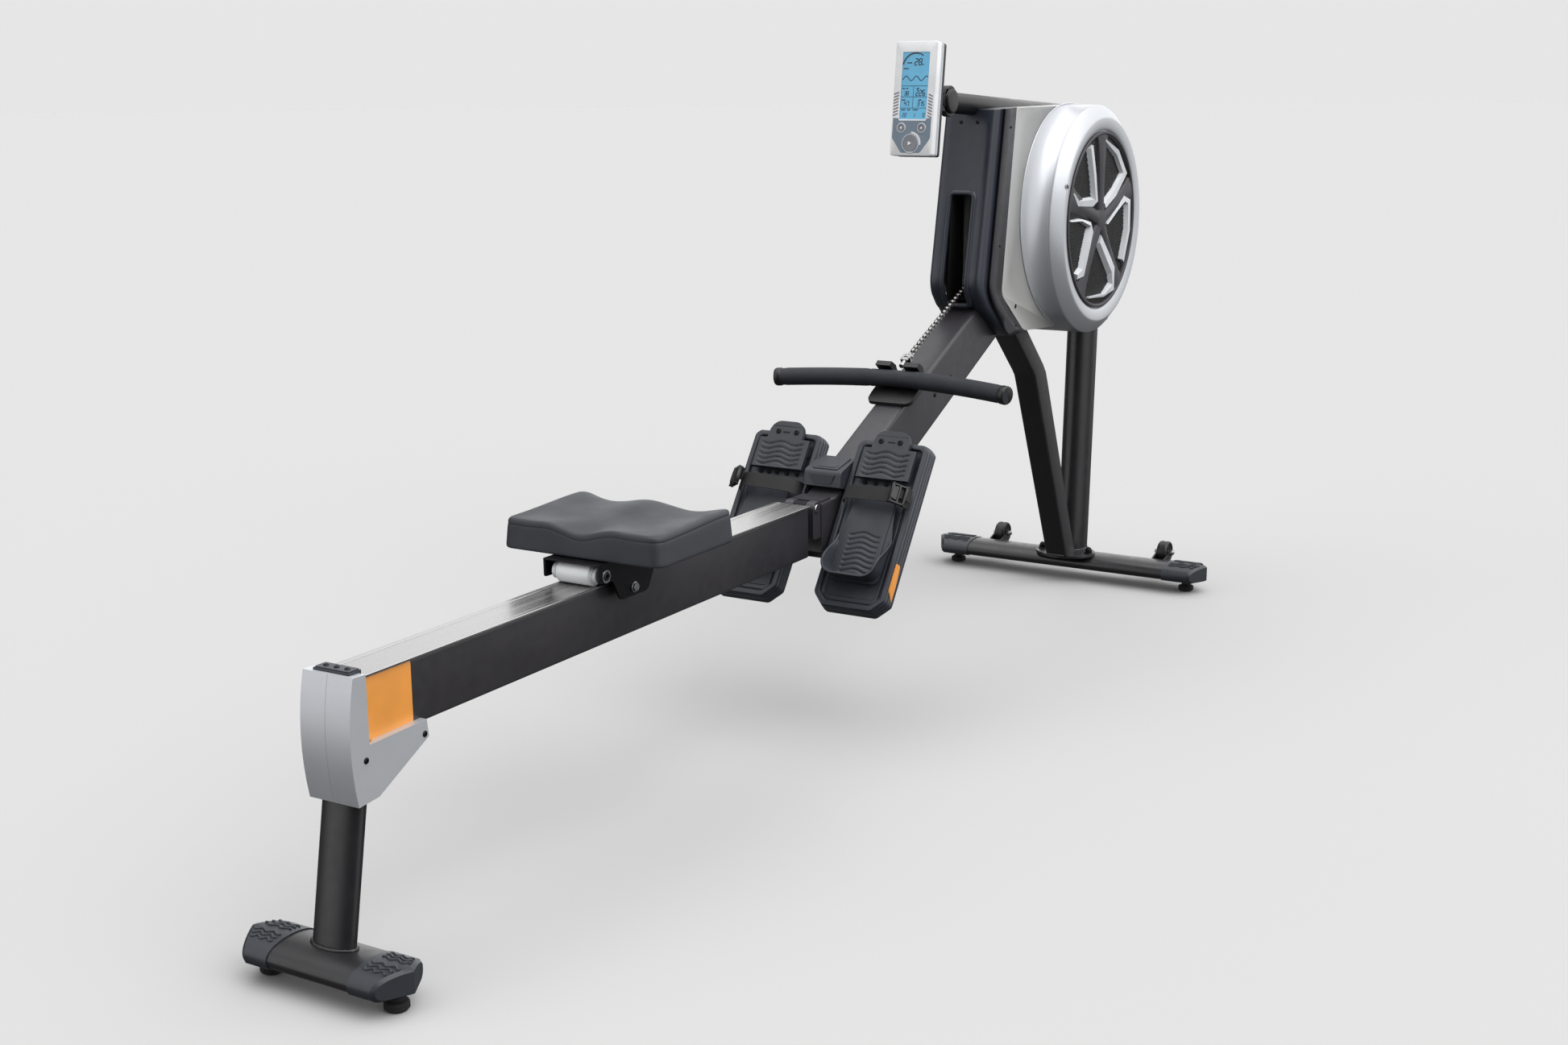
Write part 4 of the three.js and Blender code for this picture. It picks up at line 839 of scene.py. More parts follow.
# ---------------------------------------------------------------- beam and front legs
def main_beam():
    """The bent beam with its cross tube, hinge lugs, bearing plates and screws."""
    half, low, top = BEAM["half"], RAIL["low"], RAIL["top"]
    cosine, sine = math.cos(BEAM["angle"]), math.sin(BEAM["angle"])
    low_bend = BEAM["bend"] + (BEAM["depth"] - (top - low) * cosine) / sine
    end = (BEAM["end"], beam_top(BEAM["end"]))
    beneath = (end[0] + BEAM["depth"] * sine, end[1] - BEAM["depth"] * cosine)
    rings = [section((BEAM["rear"], low), (BEAM["rear"], top), half, 7),
             section((low_bend, low), (BEAM["bend"], top), half, 7), section(beneath, end, half, 7)]
    shape = Shape().add(loft(rings))
    shape.add(prism(rectangle(1207, 1232, 279, 304.4, 4), -120, 120))
    shape.add(prism(rectangle(1154, 1192, -28, 28, 3), top - 0.5, top + 3, "xy"))
    for _, side in SIDES:
        front = BEAM["rear"] + 1
        lug = arc((HINGE.x, HINGE.z), 11, 90, 180, 8)
        lug += [(HINGE.x - 11, 334), (HINGE.x - 7, 330), (front, 330), (front, HINGE.z + 11)]
        shape.add(side_plate(lug, side, 12.5, 28))
        plate = [(1785, beam_top(1785) - 20), (2142, 816), (2174, 802), (2174, 778), (2152, 766),
                 (1835, beam_top(1835) - 90)]
        shape.add(side_plate(plate, side, 10, 14))
        for x, z in ((1575, 511), (1641, 535)):
            shape.screw((x, side * half, z), (0, side, 0), 4.6, 1)
    bead = [(1206, y, low) for y in range(-half, half + 1, 6)]
    shape.add(sweep(bead, circle(2.2, 8)))
    piece("beam", shape, "frame", ["beam", "dark_steel"], ["main_beam"], bevel=0.6, crease=40)


def nose_cover():
    """A hood over the bend of the beam, with a raised pad on its top and a recessed rear face."""
    hood = [(1209, 404), (1226, beam_top(1226) + 0.6), (1284, beam_top(1284) + 0.6), (1270, 447), (1213, 431)]
    shape = Shape().add(prism(rounded(hood, [2, 1, 3, 6, 6], 4), -35.5, 35.5))
    slope = math.atan2(16, 57)
    face = Matrix.Translation((1243, 0, 440)) @ Matrix.Rotation(-slope, 4, "Y")
    shape.add(prism(rounded([(-25, -24), (22, -28), (22, 28), (-25, 24)], 5), -1, 1.3, "xy"), face)
    shape.add(prism(rounded([(-20, -17), (-9, -20), (-9, 20), (-20, 17)], 3), 1.2, 2.2, "xy"), face)
    rear = Matrix.Translation((1210.2, 0, 417))
    shape.add(prism(rounded([(-17, -9), (17, -9), (24, 9), (-24, 9)], 3), -1.2, 0.2, "yz"), rear)
    piece("beam_hood", shape, "frame", ["dark"], ["nose_cover"], bevel=1.0)


def front_legs():
    """The front post on its mounting plate, and the bent strut behind it."""
    lean = 0.055
    rings = []
    for z in (56, 640):
        x = 2324 + (z - 60) * lean
        rings.append([(x + 40 * a, 31 * b, z) for a, b in circle(1, 64)])
    piece("post_front", Shape().add(loft(rings)), "frame", ["frame"], ["front_post"])
    weld(2324, 32, 41, lambda x: 61.5 if x < 2326 else max(58, arch(x, 2308) + 1), "weld_front_post", "frame")

    plate = [(2286 + 52 * a, 66 * b) for a, b in circle(1, 64)]
    foot = Shape().add(prism(plate, 55, 61, "xy"))
    for y in (-54, 54):
        spot = Matrix.Translation((2286, y, 61))
        foot.add(lathe([(0, 0), (10, 0), (10, 1.2), (9, 1.8), (0, 1.8)], 32), spot, 1)
        foot.add(prism(circle(7.6, 6), 1.8, 7.5, "xy"), spot, 1)
        foot.add(lathe([(6.2, 7.5), (6, 9.5), (4.6, 12), (2.4, 13.2), (0, 13.6)], 28), spot, 1)
    piece("post_plate", foot, "frame", ["frame", "dark_steel"], bevel=0.8)

    spine = [((2232, 61), (2284, 61)), ((2052, 463), (2114, 461)), ((2044, 480), (2104, 483)),
             ((2031, 493), (2090, 500)), ((1929, 586), (1984, 600))]
    strut = Shape().add(loft([section(low, high, 24, 7) for low, high in spine]))
    piece("strut", strut, "frame", ["frame"], ["front_strut"], crease=40)
    rim = [(2231, y, 62.5) for y in range(-20, 21, 4)]
    piece("weld_strut", Shape().add(sweep(rim, circle(2.6, 8))), "frame", ["frame"])


# ---------------------------------------------------------------- flywheel housing
SHROUD = {"half": 63, "nose": 54, "hollow": 2.5}  # half widths over the flanges and the nose, and its hollow


def shroud_front():
    """The dark front of the housing: a nose with the chain slot, stepped back to a flange on each side. The
    flanges and sides take a darker copy of the plastic as painted shade.
    """
    rows = [i / 24 for i in range(24)]
    front = [(1772 - 64 * t, 1018 - 312 * t) for t in rows]
    front += bezier((1709, 712), (1706, 688), (1722, 670), steps=6) + [(1736, 655), (1785, 624)]
    front += bezier((1806, 607), (1818, 598), (1834, 590), steps=3) + [(1834, 590)]
    back = [(1843 - 55 * t, 1021 - 343 * t) for t in (0.95 * row for row in rows)]
    back += bezier((1790, 690), (1788, 676), (1798, 668), steps=6) + [(1806, 660), (1829, 637)]
    back += bezier((1850, 622), (1870, 610), (1900, 592), steps=3) + [(1900, 592)]
    half, nose, hollow = SHROUD["half"], SHROUD["nose"], SHROUD["hollow"]
    profile = [(half, 0, 1.0), (half, 0, 0.60), (half - 0.2, 0, 0.45), (half - 1, 0, 0.405),
               (half - 2.4, 0, 0.385), (half - 3.8, 0, 0.385), (half - 5, 0, 0.4), (half - 6, 0, 0.425),
               (half - 6.8, 0, 0.45), (nose + 1.4, 0, 0.455), (nose + 0.6, 0, 0.43), (nose + 0.1, 0, 0.34),
               (nose - 0.2, 0, 0.22), (nose - 1, 0, 0.14), (nose - 2.6, 0, 0.075), (nose - 5.4, 0, 0.025),
               (nose - 10, 0, 0), (nose - 19, 0.4, 0), (24, hollow * 0.85, 0), (0, hollow, 0)]
    fixed = 3  # points of the profile at each end that stay on the side plate
    profile += [(-y, depth, back_share) for y, depth, back_share in reversed(profile[:-1])]
    rings = []
    for i, (near, far) in enumerate(zip(front, back)):
        run = direction_at(front, i)
        inward = Vector((-run.y, run.x))
        fade = min(1, max(0.12, (near[1] - 592) / 70))
        ring = []
        for k, (y, depth, share) in enumerate(profile):
            at = Vector(near) + inward * depth * fade
            at = at.lerp(Vector(far), share * fade if fixed <= k < len(profile) - fixed else share)
            ring.append((at.x, y, at.y))
        rings.append(ring)
    points, faces = loft([list(reversed(r)) for r in rings], ends=False, wrap=False)
    # faces beyond the nose get the darker copy: painted shade on the flanges and sides
    rim = [face for face in faces if min(abs(points[k][1]) for k in face) > nose + 0.2]
    shape = Shape().add((points, [face for face in faces if face not in rim])).add((points, rim), shade=1)
    shape.add((rings[0], [list(range(len(profile)))]))
    shroud = piece("shroud", shape, None, ["shroud", "shroud_painted_shade"], ["shroud_front"],
                   crease=60)
    wall = shroud.modifiers.new("wall", "SOLIDIFY")
    wall.thickness = 0.003
    wall.offset = -1
    cut_slot(shroud)
    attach(shroud, "frame")
    slot_rim()
    screws = Shape()
    for y in (-17, 17):
        screws.screw((slot_place(995) - 0.6, y, 995), (-1, 0, 0.2), 3.4)
    for x, y, z in ((1818, 62.6, 985), (1777, 62.6, 767), (1857, 62.6, 608)):
        for _, side in SIDES:
            screws.screw((x, side * y, z), (0, side, 0), 2.6)
    piece("shroud_screws", screws, "frame", ["dark_steel"])


SLOT = {"half": 21, "low": 662, "high": 862}


def slot_place(z):
    """The front face at a height, in X."""
    return 1710.6 + (z - 706) * 64 / 312 if z > 706 else 1710.6 + (706 - z) ** 2 / 110


def cut_slot(shroud):
    """Opens the chain slot through the front."""
    outline = rectangle(-SLOT["half"], SLOT["half"], SLOT["low"], SLOT["high"], 8, 6)
    tool = piece("slot_tool", Shape().add(prism(outline, 1690, 1800, "yz")), None, ["black"])
    cutter = shroud.modifiers.new("slot", "BOOLEAN")
    cutter.operation = "DIFFERENCE"
    cutter.solver = "EXACT"
    cutter.object = tool
    shaped = bpy.data.meshes.new_from_object(shroud.evaluated_get(bpy.context.evaluated_depsgraph_get()))
    shroud.modifiers.clear()
    shroud.data = shaped
    bpy.data.objects.remove(tool)


def slot_rim():
    """A raised lip round the slot and the tunnel behind it, a near-black lining that paints the shade inside
    the housing.
    """
    half, low, high = SLOT["half"], SLOT["low"], SLOT["high"]
    corners = rectangle(-half - 4.5, half + 4.5, low - 4.5, high + 4.5, 12, 8)
    rails = [(half + 4.5, low + 8 + (high - low - 16) * i / 16) for i in range(1, 16)]
    outline = corners[:18] + rails + corners[18:] + [(-y, z) for y, z in reversed(rails)]
    lip = [(-4.6, 2), (-4.4, -2.8), (-3, -4.6), (0, -5.2), (2.8, -4.4), (4.4, -2.2), (6, 1.4), (2, 4),
           (-2, 4)]
    rings = []
    for i, (y, z) in enumerate(outline):
        before, after = outline[i - 1], outline[(i + 1) % len(outline)]
        out = Vector((after[1] - before[1], before[0] - after[0])).normalized()
        rings.append([(slot_place(z) + depth, y + out.x * a, z + out.y * a) for a, depth in lip])
    piece("slot_lip", Shape().add(loft(rings, loop=True)), "frame", ["shroud"], crease=60)
    # the tunnel is a near-black lining: painted shade behind the slot
    tunnel = rectangle(-half - 0.5, half + 0.5, low - 0.5, high + 0.5, 8, 6)
    rings = []
    for deep, wider in ((False, 1), (True, 1), (True, 1.05), (False, 1.05)):
        rings.append([(1795 if deep else slot_place(z) + 2.5, y * wider, z) for y, z in tunnel])
    piece("slot_tunnel", Shape().add(loft(rings, loop=True)), "frame", ["black_and_painted_shade"], crease=60)


def casing(label, side):
    """One silver half of the housing: a flat plate that runs into the drum with its bevelled ring."""
    x, z, radius = DRUM.x, DRUM.z, DRUM_RADIUS
    low_angle = 244
    rim = arc((x, z), radius - 0.5, 90, low_angle, 72)
    edge = rounded([(x, 1020), (1844, 1020), (1789, 678), (1901, 593), (2050, 584)], [0, 4, 22, 14, 0], 5)
    outline = edge + list(reversed(rim))
    flat = [(px, side * PLATE_Y, pz) for px, pz in outline]
    walls = [[(px, side * y, pz) for px, pz in edge] for y in (0.2, PLATE_Y)]
    shell = Shape().add((flat, [list(range(len(flat)))])).add(loft(walls, ends=False, wrap=False))
    plate = piece(f"casing_plate_{label}", shell, "frame", ["plate", "black_and_painted_shade"],
                  [f"side_cover_{label}"], bevel=2.2)
    plate.modifiers.new("wall", "SOLIDIFY").thickness = 0.003
    plate.modifiers["wall"].offset = -1
    # the inner faces take the near-black material: bare plastic darkened further as painted shade inside the
    # housing
    plate.modifiers["wall"].material_offset = 1

    spot = across(x, z, side)
    profile = [(radius, 57), (radius, 96.5), (radius - 0.4, 98.6), (radius - 1.4, 100.4), (206, 116.6),
               (204.6, 117.8), (203, 118.6), (201.4, 118.9), (186, 116.4), (181.5, 115.6), (179.4, 114.6),
               (178.2, 112.6), (177.2, 106), (174, 106), (174, 112), (183, 112.2), (201, 115.2), (224, 99),
               (224.5, 57)]
    drum = Shape().add(lathe(profile, 160, loop=True), spot)
    band = [(radius, 0.2), (radius, 57), (224.5, 57), (224.5, 0.2)]
    start = -90 if side > 0 else low_angle - 360
    drum.add(capped_arc(band, 96, start, 360 - (low_angle - 90)), spot)
    piece(f"drum_{label}", drum, "frame", ["silver"], crease=50)

    rings = []
    for angle, radius_low in flare_line():
        level = [(radius_low, 58.5), (radius_low, 61), (radius_low - (radius_low - radius) * 0.30, 64.5)]
        swell = ((0.46, 70), (0.25, 78), (0.1, 87), (0.02, 96))
        level += [(radius + (radius_low - radius) * share, y) for share, y in swell]
        level += [(radius - 1.5, 96), (radius - 1.5, 58.5)]
        rings.append([(x + r * math.cos(angle), side * y, z + r * math.sin(angle)) for r, y in level])
    piece(f"drum_flare_{label}", Shape().add(loft(rings)), "frame", ["silver"], crease=60)
    line = [(angle, reach + 0.4) for angle, reach in flare_line()]
    bead = [(x + r * math.cos(angle), side * (PLATE_Y + 0.8), z + r * math.sin(angle)) for angle, r in line]
    piece(f"drum_bead_{label}", Shape().add(sweep(bead, circle(1.7, 10), up=(0, 1, 0))), "frame",
          ["silver"], crease=80)

    screws = Shape()
    for px, pz, py, out in ((1964.5, 868, 118.2, 0.1), (1860, 645, PLATE_Y, 0), (2228, 583, 103.6, 0.8)):
        out = (Vector((px, 0, pz)) - DRUM).normalized() * out + Vector((0, side, 0))
        place = turn_to(out, (px, side * py, pz))
        # a near-black ring round each screw: painted shade in the gap of its recess
        screws.add(lathe([(5.0, -1.4), (5.2, 0.4), (6.4, 0.4), (6.6, -1.4)], 28, loop=True), place, 1)
        screws.add(lathe(disc(5.1, 1.35, -1.2), 28), place)
        screws.screw((px, side * py, pz), out, 3.2, 2, 0.9)
    piece(f"casing_screws_{label}", screws, "frame", ["black_and_painted_shade", "silver", "dark_steel"])


def flare_line():
    """The joint between drum and plate: it bows out from the circle behind the axle."""
    found = []
    for k in range(73):
        share = k / 72
        swell = 52 * math.sin(math.pi * share ** 0.92) ** 1.4
        found.append((math.radians(92 + 150 * share), DRUM_RADIUS + 0.6 + swell))
    return found


INLAYS = (  # each inlay's centre line about the axle, as (x, z, width)
    ((-66, 148, 24), (-46, 92, 23), (-34, 40, 24), (-52, 37, 22), (-128, 40, 15), (-152, 60, 4)),
    ((-166, 8, 3), (-110, 7, 6), (-62, -4, 12), (-56, -18, 30), (-80, -66, 30), (-96, -98, 28),
     (-126, -104, 14)),
    ((-8, -38, 26), (34, -76, 30), (66, -106, 32), (68, -142, 28), (20, -155, 7), (-60, -152, 3)),
    ((27, -10, 3), (74, 14, 8), (118, 36, 18), (146, 28, 26), (148, -30, 24), (120, -92, 22)),
    ((12, 28, 16), (64, 50, 20), (117, 88, 26), (72, 132, 17), (6, 158, 5)),
)


def strip(points, half_low, half_high):
    """Rings of a bevelled strip along (x, z, width) points, wide at half_low and narrow at half_high."""
    rings = []
    for i, (x, z, width) in enumerate(points):
        run = direction_at([point[:2] for point in points], i)
        here, over = Vector((x, z)), Vector((-run.y, run.x)) * width * 0.58
        ring = []
        for share, height in ((-1, half_low), (-0.55, half_high), (0.55, half_high - 1.6), (1, half_low)):
            spot = here + over * share
            ring.append((spot.x, spot.y, height))
        rings.append(ring)
    return loft(rings)


def grille(label, side):
    """A black grille with a five-armed star and silver inlays along its openings."""
    spot = Matrix(((1, 0, 0, DRUM.x), (0, 0, side, 0), (0, 1, 0, DRUM.z), (0, 0, 0, 1)))
    shape = Shape()
    reach, pitch, wide = GRILLE_RADIUS - 6, 5.2, 1.0
    count = int(reach / pitch)
    for turn, top in ((45, 110.2), (-45, 110.6)):
        for k in range(-count, count + 1):
            offset = k * pitch
            half = math.sqrt(reach ** 2 - offset ** 2)
            bar = block(-half, half, offset - wide, offset + wide, 108.2, top)
            shape.add(bar, spot @ Matrix.Rotation(math.radians(turn), 4, "Z"))
    rim = [(168, 108), (176.6, 108), (176.6, 116.2), (175.4, 117.6), (172, 117.8), (169.6, 116), (168, 112)]
    shape.add(lathe(rim, 128, loop=True), spot, 1)
    hub = [(0, 108), (25, 108), (25, 113), (21, 117), (12, 118.4), (0, 118.6)]
    shape.add(lathe(hub, 64), spot, 1)
    rings = []
    for r, half, top in ((6, 13, 117.6), (60, 11, 117.2), (110, 14, 117), (150, 20, 116.8), (172, 30, 116.4)):
        flank = [(r, half * 0.35, top), (r, half, top - 2.4), (r, half + 4, 108.4)]
        rings.append([(r, -y, h) for _, y, h in reversed(flank)] + flank)
    for arm in range(5):
        shape.add(loft(rings), spot @ Matrix.Rotation(math.radians(90 + 72 * arm), 4, "Z"), 1)
    for points in INLAYS:
        shape.add(strip(points, 109, 119), spot, 2)
    piece(f"fan_grille_{label}", shape, "frame", ["black", "star", "inlay"],
          [f"grille_{label}"], crease=25)


def flywheel():
    """The flywheel as the CAD has it, and the chain's toothed wheel."""
    refined("flywheel", "flywheel", "aluminium", 0)
    tooth_profile = ((-2.6, -4.6), (-1.3, -5.0), (0, -5.1), (1.3, -5.0), (2.6, -4.6), (4.2, 1.0), (5.2, 2.4),
                     (6.0, 2.4), (7.0, 1.0))
    outline = []
    for tooth in range(CHAIN["teeth"]):
        base = 360 * tooth / CHAIN["teeth"]
        for turn, rise in tooth_profile:
            a = math.radians(base + turn)
            outline.append(((WRAP_RADIUS + rise) * math.cos(a), (WRAP_RADIUS + rise) * math.sin(a)))
    spot = across(DRUM.x, DRUM.z)
    shape = Shape().add(prism(outline, -1.4, 1.4, "xy"), spot)
    shape.add(lathe([(10.3, -7), (19, -7), (20, -6), (20, 6), (19, 7), (10.3, 7)], 48, loop=True), spot)
    piece("chain_wheel", shape, "sprocket", ["steel"], ["drive_sprocket"], bevel=0.25)


# ---------------------------------------------------------------- chain and handle
def cord_height(x):
    """Height of the return line inside the beam."""
    return beam_top(x) - BEAM["depth"] * 0.55


def chain_route():
    """Points of the chain's centre line: straight in, round the front of the wheel and down into the beam."""
    end = Vector((1800, cord_height(1800)))
    axle = Vector((DRUM.x, DRUM.z))
    to_axle = math.atan2(axle.y - end.y, axle.x - end.x)
    lower = to_axle - math.asin(WRAP_RADIUS / (axle - end).length) - math.pi / 2
    upper = CHAIN["angle"] + math.pi / 2
    wrap = arc(axle, WRAP_RADIUS, math.degrees(upper), math.degrees(lower), 48)
    straight = [Vector((CHAIN["x"], CHAIN["z"])).lerp(Vector(wrap[0]), i / 12) for i in range(12)]
    down = [Vector(wrap[-1]).lerp(end, i / 8) for i in range(1, 9)]
    return straight, [Vector(p) for p in wrap], down


def pins_along(points, first):
    """Pin places at chain pitch along a line, starting first millimetres in."""
    found, wanted, passed = [], first, 0.0
    for a, b in zip(points, points[1:]):
        length = (b - a).length
        while wanted <= passed + length:
            found.append(a.lerp(b, (wanted - passed) / length))
            wanted += CHAIN["pitch"]
        passed += length
    return found


def links(pins, inner_first):
    """Side plates, rollers and pins between successive pin places."""
    shape = Shape()
    pitch = CHAIN["pitch"]
    end = [(4 * math.cos(a), -4 * math.sin(a)) for a in map(math.radians, (110, 145, 180, 215, 250))]
    waist = (pitch / 2, 2.7)
    outline = end + [waist] + [(pitch - px, pz) for px, pz in reversed(end)] + [waist]
    for i, (a, b) in enumerate(zip(pins, pins[1:])):
        run = (b - a).normalized()
        turn = Matrix(((run.x, 0, -run.y, a.x), (0, 1, 0, 0), (run.y, 0, run.x, a.y), (0, 0, 0, 1)))
        y = 2.5 if (i % 2 == 0) == inner_first else 3.6
        for side in (-1, 1):
            shape.add(side_plate(outline, side, y - 0.45, y + 0.45), turn)
        roller = turn @ ABOUT_Y
        shape.add(lathe(disc(3.9, 4, -2), 12), roller, 1)
        shape.add(lathe(disc(1.8, 9, -4.5), 8), roller, 1)
    return shape


def drive_chain():
    """The run that is drawn out with the handle, the rest of the chain and the elastic cord behind it."""
    straight, wrap, down = chain_route()
    run_pins = pins_along(straight + wrap[:1], 1.0)
    run = piece("chain_run", links(run_pins, True), None, ["chain", "stainless"],
                ["drive_chain"], crease=40)
    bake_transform(run)

    rest_pins = pins_along([run_pins[-1]] + wrap + down, 0.0)
    rest = links(rest_pins, len(run_pins) % 2 == 1)
    piece("chain_return", rest, "frame", ["chain", "stainless"], crease=40)
    last = rest_pins[-1]
    cord = Shape().rod(4, (last.x - 3, 0, last.y - 1.2), (1290, 0, cord_height(1290)), lip=1)
    piece("elastic_cord", cord, "frame", ["rubber"], ["return_cord"])


def handle_line(t):
    """The bar's centre line from t -1 to 1, swept back towards its ends."""
    bend = abs(t) ** 1.7
    return Vector((HANDLE["x"] - HANDLE["sweep"] * bend, t * HANDLE["half"],
                   HANDLE["z"] - HANDLE["drop"] * bend))


def handle():
    """A bar with two moulded grips, end caps and the swivel that joins it to the chain."""
    places = [-1 + i / 60 for i in range(121)]
    rings = []
    for s in map(abs, places):
        radius = 15.2 + 0.8 * step(s, 0.14, 0.2)
        radius -= 0.9 * bell(s, 0.22, 0.012) + 0.9 * bell(s, 0.93, 0.010)
        rings.append(circle(radius * (1 if s < 0.985 else 0.92), 36))
    shape = Shape().add(sweep([handle_line(t) for t in places], rings))
    for end in (-1, 1):
        line = [handle_line(end * t) for t in (0.945, 0.95, 0.985, 0.995, 1.0)]
        shape.add(sweep(line, [circle(r, 36) for r in (15.6, 16.6, 16.6, 15.8, 13.5)]), shade=1)
    piece("pull_bar", shape, "handle", ["grip", "black"], ["handle_bar"], crease=50)

    angle = CHAIN["angle"]
    place = Matrix.Translation((CHAIN["x"] - 2, 0, CHAIN["z"] - 2 * math.tan(angle)))
    place = place @ Matrix.Rotation(-angle, 4, "Y")
    swivel = Shape().rod(4.6, (-38, 0, 0), (-20, 0, 0), lip=0.6)
    outline = rounded([(-23, -6), (-1, -6), (-1, 6), (-23, 6)], [2, 5.5, 5.5, 2])
    for low, high in ((-8, -4.6), (4.6, 8)):
        swivel.add(prism(outline, low, high))
    swivel.add(prism(rounded([(-23, -6), (-15, -6), (-15, 6), (-23, 6)], 1.5), -8, 8))
    swivel.add(lathe(disc(3.6, 18.8, -9.4), 24), across(-5, 0), 1)
    swivel.points = [place @ p for p in swivel.points]
    piece("swivel", swivel, "handle", ["stainless", "steel"], ["chain_swivel"], bevel=0.4)


# ---------------------------------------------------------------- footboards
def board_ring(more, w):
    """The tray's outline with cut corners, grown by more, at height w."""
    length, width = BOARD["half"] + more, BOARD["wide"] + more
    corner, top = 20 + more * 0.5, 8 + more * 0.4
    corners = [(-length + corner, -width), (length - top, -width), (length, -width + top),
               (length, width - top), (length - top, width), (-length + corner, width),
               (-length, width - corner), (-length, -width + corner)]
    return [(u, v, w) for u, v in rounded(corners, 4, 3)]


def wave(u, v, rows, reach, half, deep):
    """Depth of wavy grooves across a plate: rows are their places and half is their half width."""
    if not reach[0] < v < reach[1]:
        return 0
    edge = min(1, (v - reach[0]) / 3, (reach[1] - v) / 3)
    return max(deep * edge * bell(u, row + 3 * math.sin(v * 2 * math.pi / 52 + 1.2), half) for row in rows)


def footboard(label, side):
    """A tray with its toe plate, heel cup and strap; u runs up the board, v across it and w out of it."""
    place = Matrix.Translation((BOARD["x"], side * BOARD["y"], BOARD["z"]))
    place = place @ Matrix.Rotation(-BOARD["tilt"], 4, "Y")
    deep = -BOARD["deep"]
    rings = [(-7, -11), (-4, deep + 0.4), (0, deep), (3.9, deep + 0.3), (3.9, -22), (2.6, -20.5), (2.6, -19),
             (3.4, -18), (3.2, -15), (1.9, -14), (1.9, -12), (2.6, -11), (2.0, -7), (0.6, -5.5), (0.6, -4),
             (1.0, -3), (0.2, -0.5), (-1.4, 0), (-6.5, 0), (-8, -1), (-9.5, -6), (-12, -7.4), (-20, -7.6)]
    tray = Shape().add(loft([board_ring(more, w) for more, w in rings]), place)
    well = rectangle(-138, 66, -50, 50, 12, 5)
    levels = ((1, -7.8), (1, -5.6), (0.97, -5.0), (0.955, -5.0), (0.94, -6.6))
    tray.add(loft([[(u * s, v * s, w) for u, v in well] for s, w in levels]), place)
    mark = rounded([(-128, deep + 3), (-62, deep + 12), (-62, -5), (-112, -5)], 3)
    tray.add(side_plate(mark, side, BOARD["wide"] + 1, BOARD["wide"] + 3.6), place, 1)
    plug = lathe([(0, 0), (6, 0), (6, 1.5), (4, 3.5), (0, 3.5)], 24)
    for v in (-46, 58):
        tray.add(plug, place @ Matrix.Translation((112, v * side, -7.5)), 2)
    up = place.to_3x3() @ Vector((0, 0, 1))
    tray.screw(place @ Vector((-98, 38 * side, -7.4)), up, 4.6, 2)
    # near-black discs stand in for the strip of holes: painted shade
    for u in (62, 75):
        for v in (-36, -16, 4, 20, 36):
            tray.add(lathe(disc(3.4, 0.5), 20), place @ Matrix.Translation((u, v * side, -4.9)), 2)
    piece(f"tray_{label}", tray, "frame", ["dark", "orange", "black_and_painted_shade"], [f"footboard_{label}"],
          crease=32)

    rows = (125, 115, 105, 96, 87)

    def top(u, v):
        return 9 - wave(u, v, rows, (-42, 42), 1.7, 2.2) - 1.2 * step(abs(v), 48, 50.5)

    toe = Shape().add(relief_plate((79, 134), (-50, 50), (44, 60), top, -0.3), place)
    tab = rounded([(133, -35), (151, -34), (167, -25), (167, 25), (151, 34), (133, 35)],
                  [0, 8, 12, 12, 8, 0], 6)
    toe.add(prism(tab, 0.4, 8.6, "xy"), place)
    for v in (-18, 18):
        toe.screw(place @ Vector((147, v - 2 * side, 8.6)), up, 5, 1, 2.4)
    toe.add(prism(rectangle(144.6, 147.4, -7, 7, 1.3), 8.4, 8.8, "xy"), place, 1)
    piece(f"toe_pad_{label}", toe, "frame", ["cap", "black_and_painted_shade"], [f"toe_plate_{label}"], crease=40)
    heel_cup(label, place)
    strap(label, side, place)


def heel_cup(label, place):
    """The sliding heel cup: a grooved sole with a wall that rises round the heel and flares at its wings."""
    rows = [-22 - 9.4 * k for k in range(8)]
    shape = Shape()

    def sole(u, v):
        taper = 1 - 0.10 * step(u, 10, 44)
        return 4.5 - wave(u, v, rows, (-30 * taper, 30 * taper), 1.5, 1.8)

    shape.add(relief_plate((-100, 44), (-38, 38), (96, 50), sole, 1), place)
    edge = [(-106, -46), (-30, -51), (0, -44), (44, -38), (44, 38), (0, 44), (-30, 51), (-106, 46)]
    shape.add(prism(rounded(edge, [12, 8, 8, 4, 4, 8, 8, 12], 4), 0.8, 3.2, "xy"), place)
    line = rounded([(-26, -51), (-103, -47), (-103, 47), (-26, 51)], [0, 24, 24, 0], 10)
    first, *turns, last = map(Vector, line)
    path = [first.lerp(turns[0], t / 5) for t in range(5)] + turns[:-1]
    path += [turns[-1].lerp(last, t / 5) for t in range(6)]
    rings = []
    for i, (u, v) in enumerate(path):
        run = direction_at(path, i)
        out = Vector((-run.y, run.x))
        rise = 3.5 + 31.5 * step(-u, 26, 84)
        flare = 3.2 * step(-u, 20, 60)
        levels = [(0, 1), (0.6, rise * 0.5), (flare * 0.5, rise - 2), (flare, rise),
                  (flare - 1.6, rise + 0.6), (flare - 3.4, rise - 0.4), (-3.0, rise * 0.45), (-4.4, 3.6),
                  (-4.4, 1)]
        rings.append([(u + out.x * a, v + out.y * a, max(w, 1)) for a, w in levels])
    shape.add(loft(rings), place)
    piece(f"heel_holder_{label}", shape, f"{label}_heel", ["dark"], [f"heel_cup_{label}"],
          crease=50)


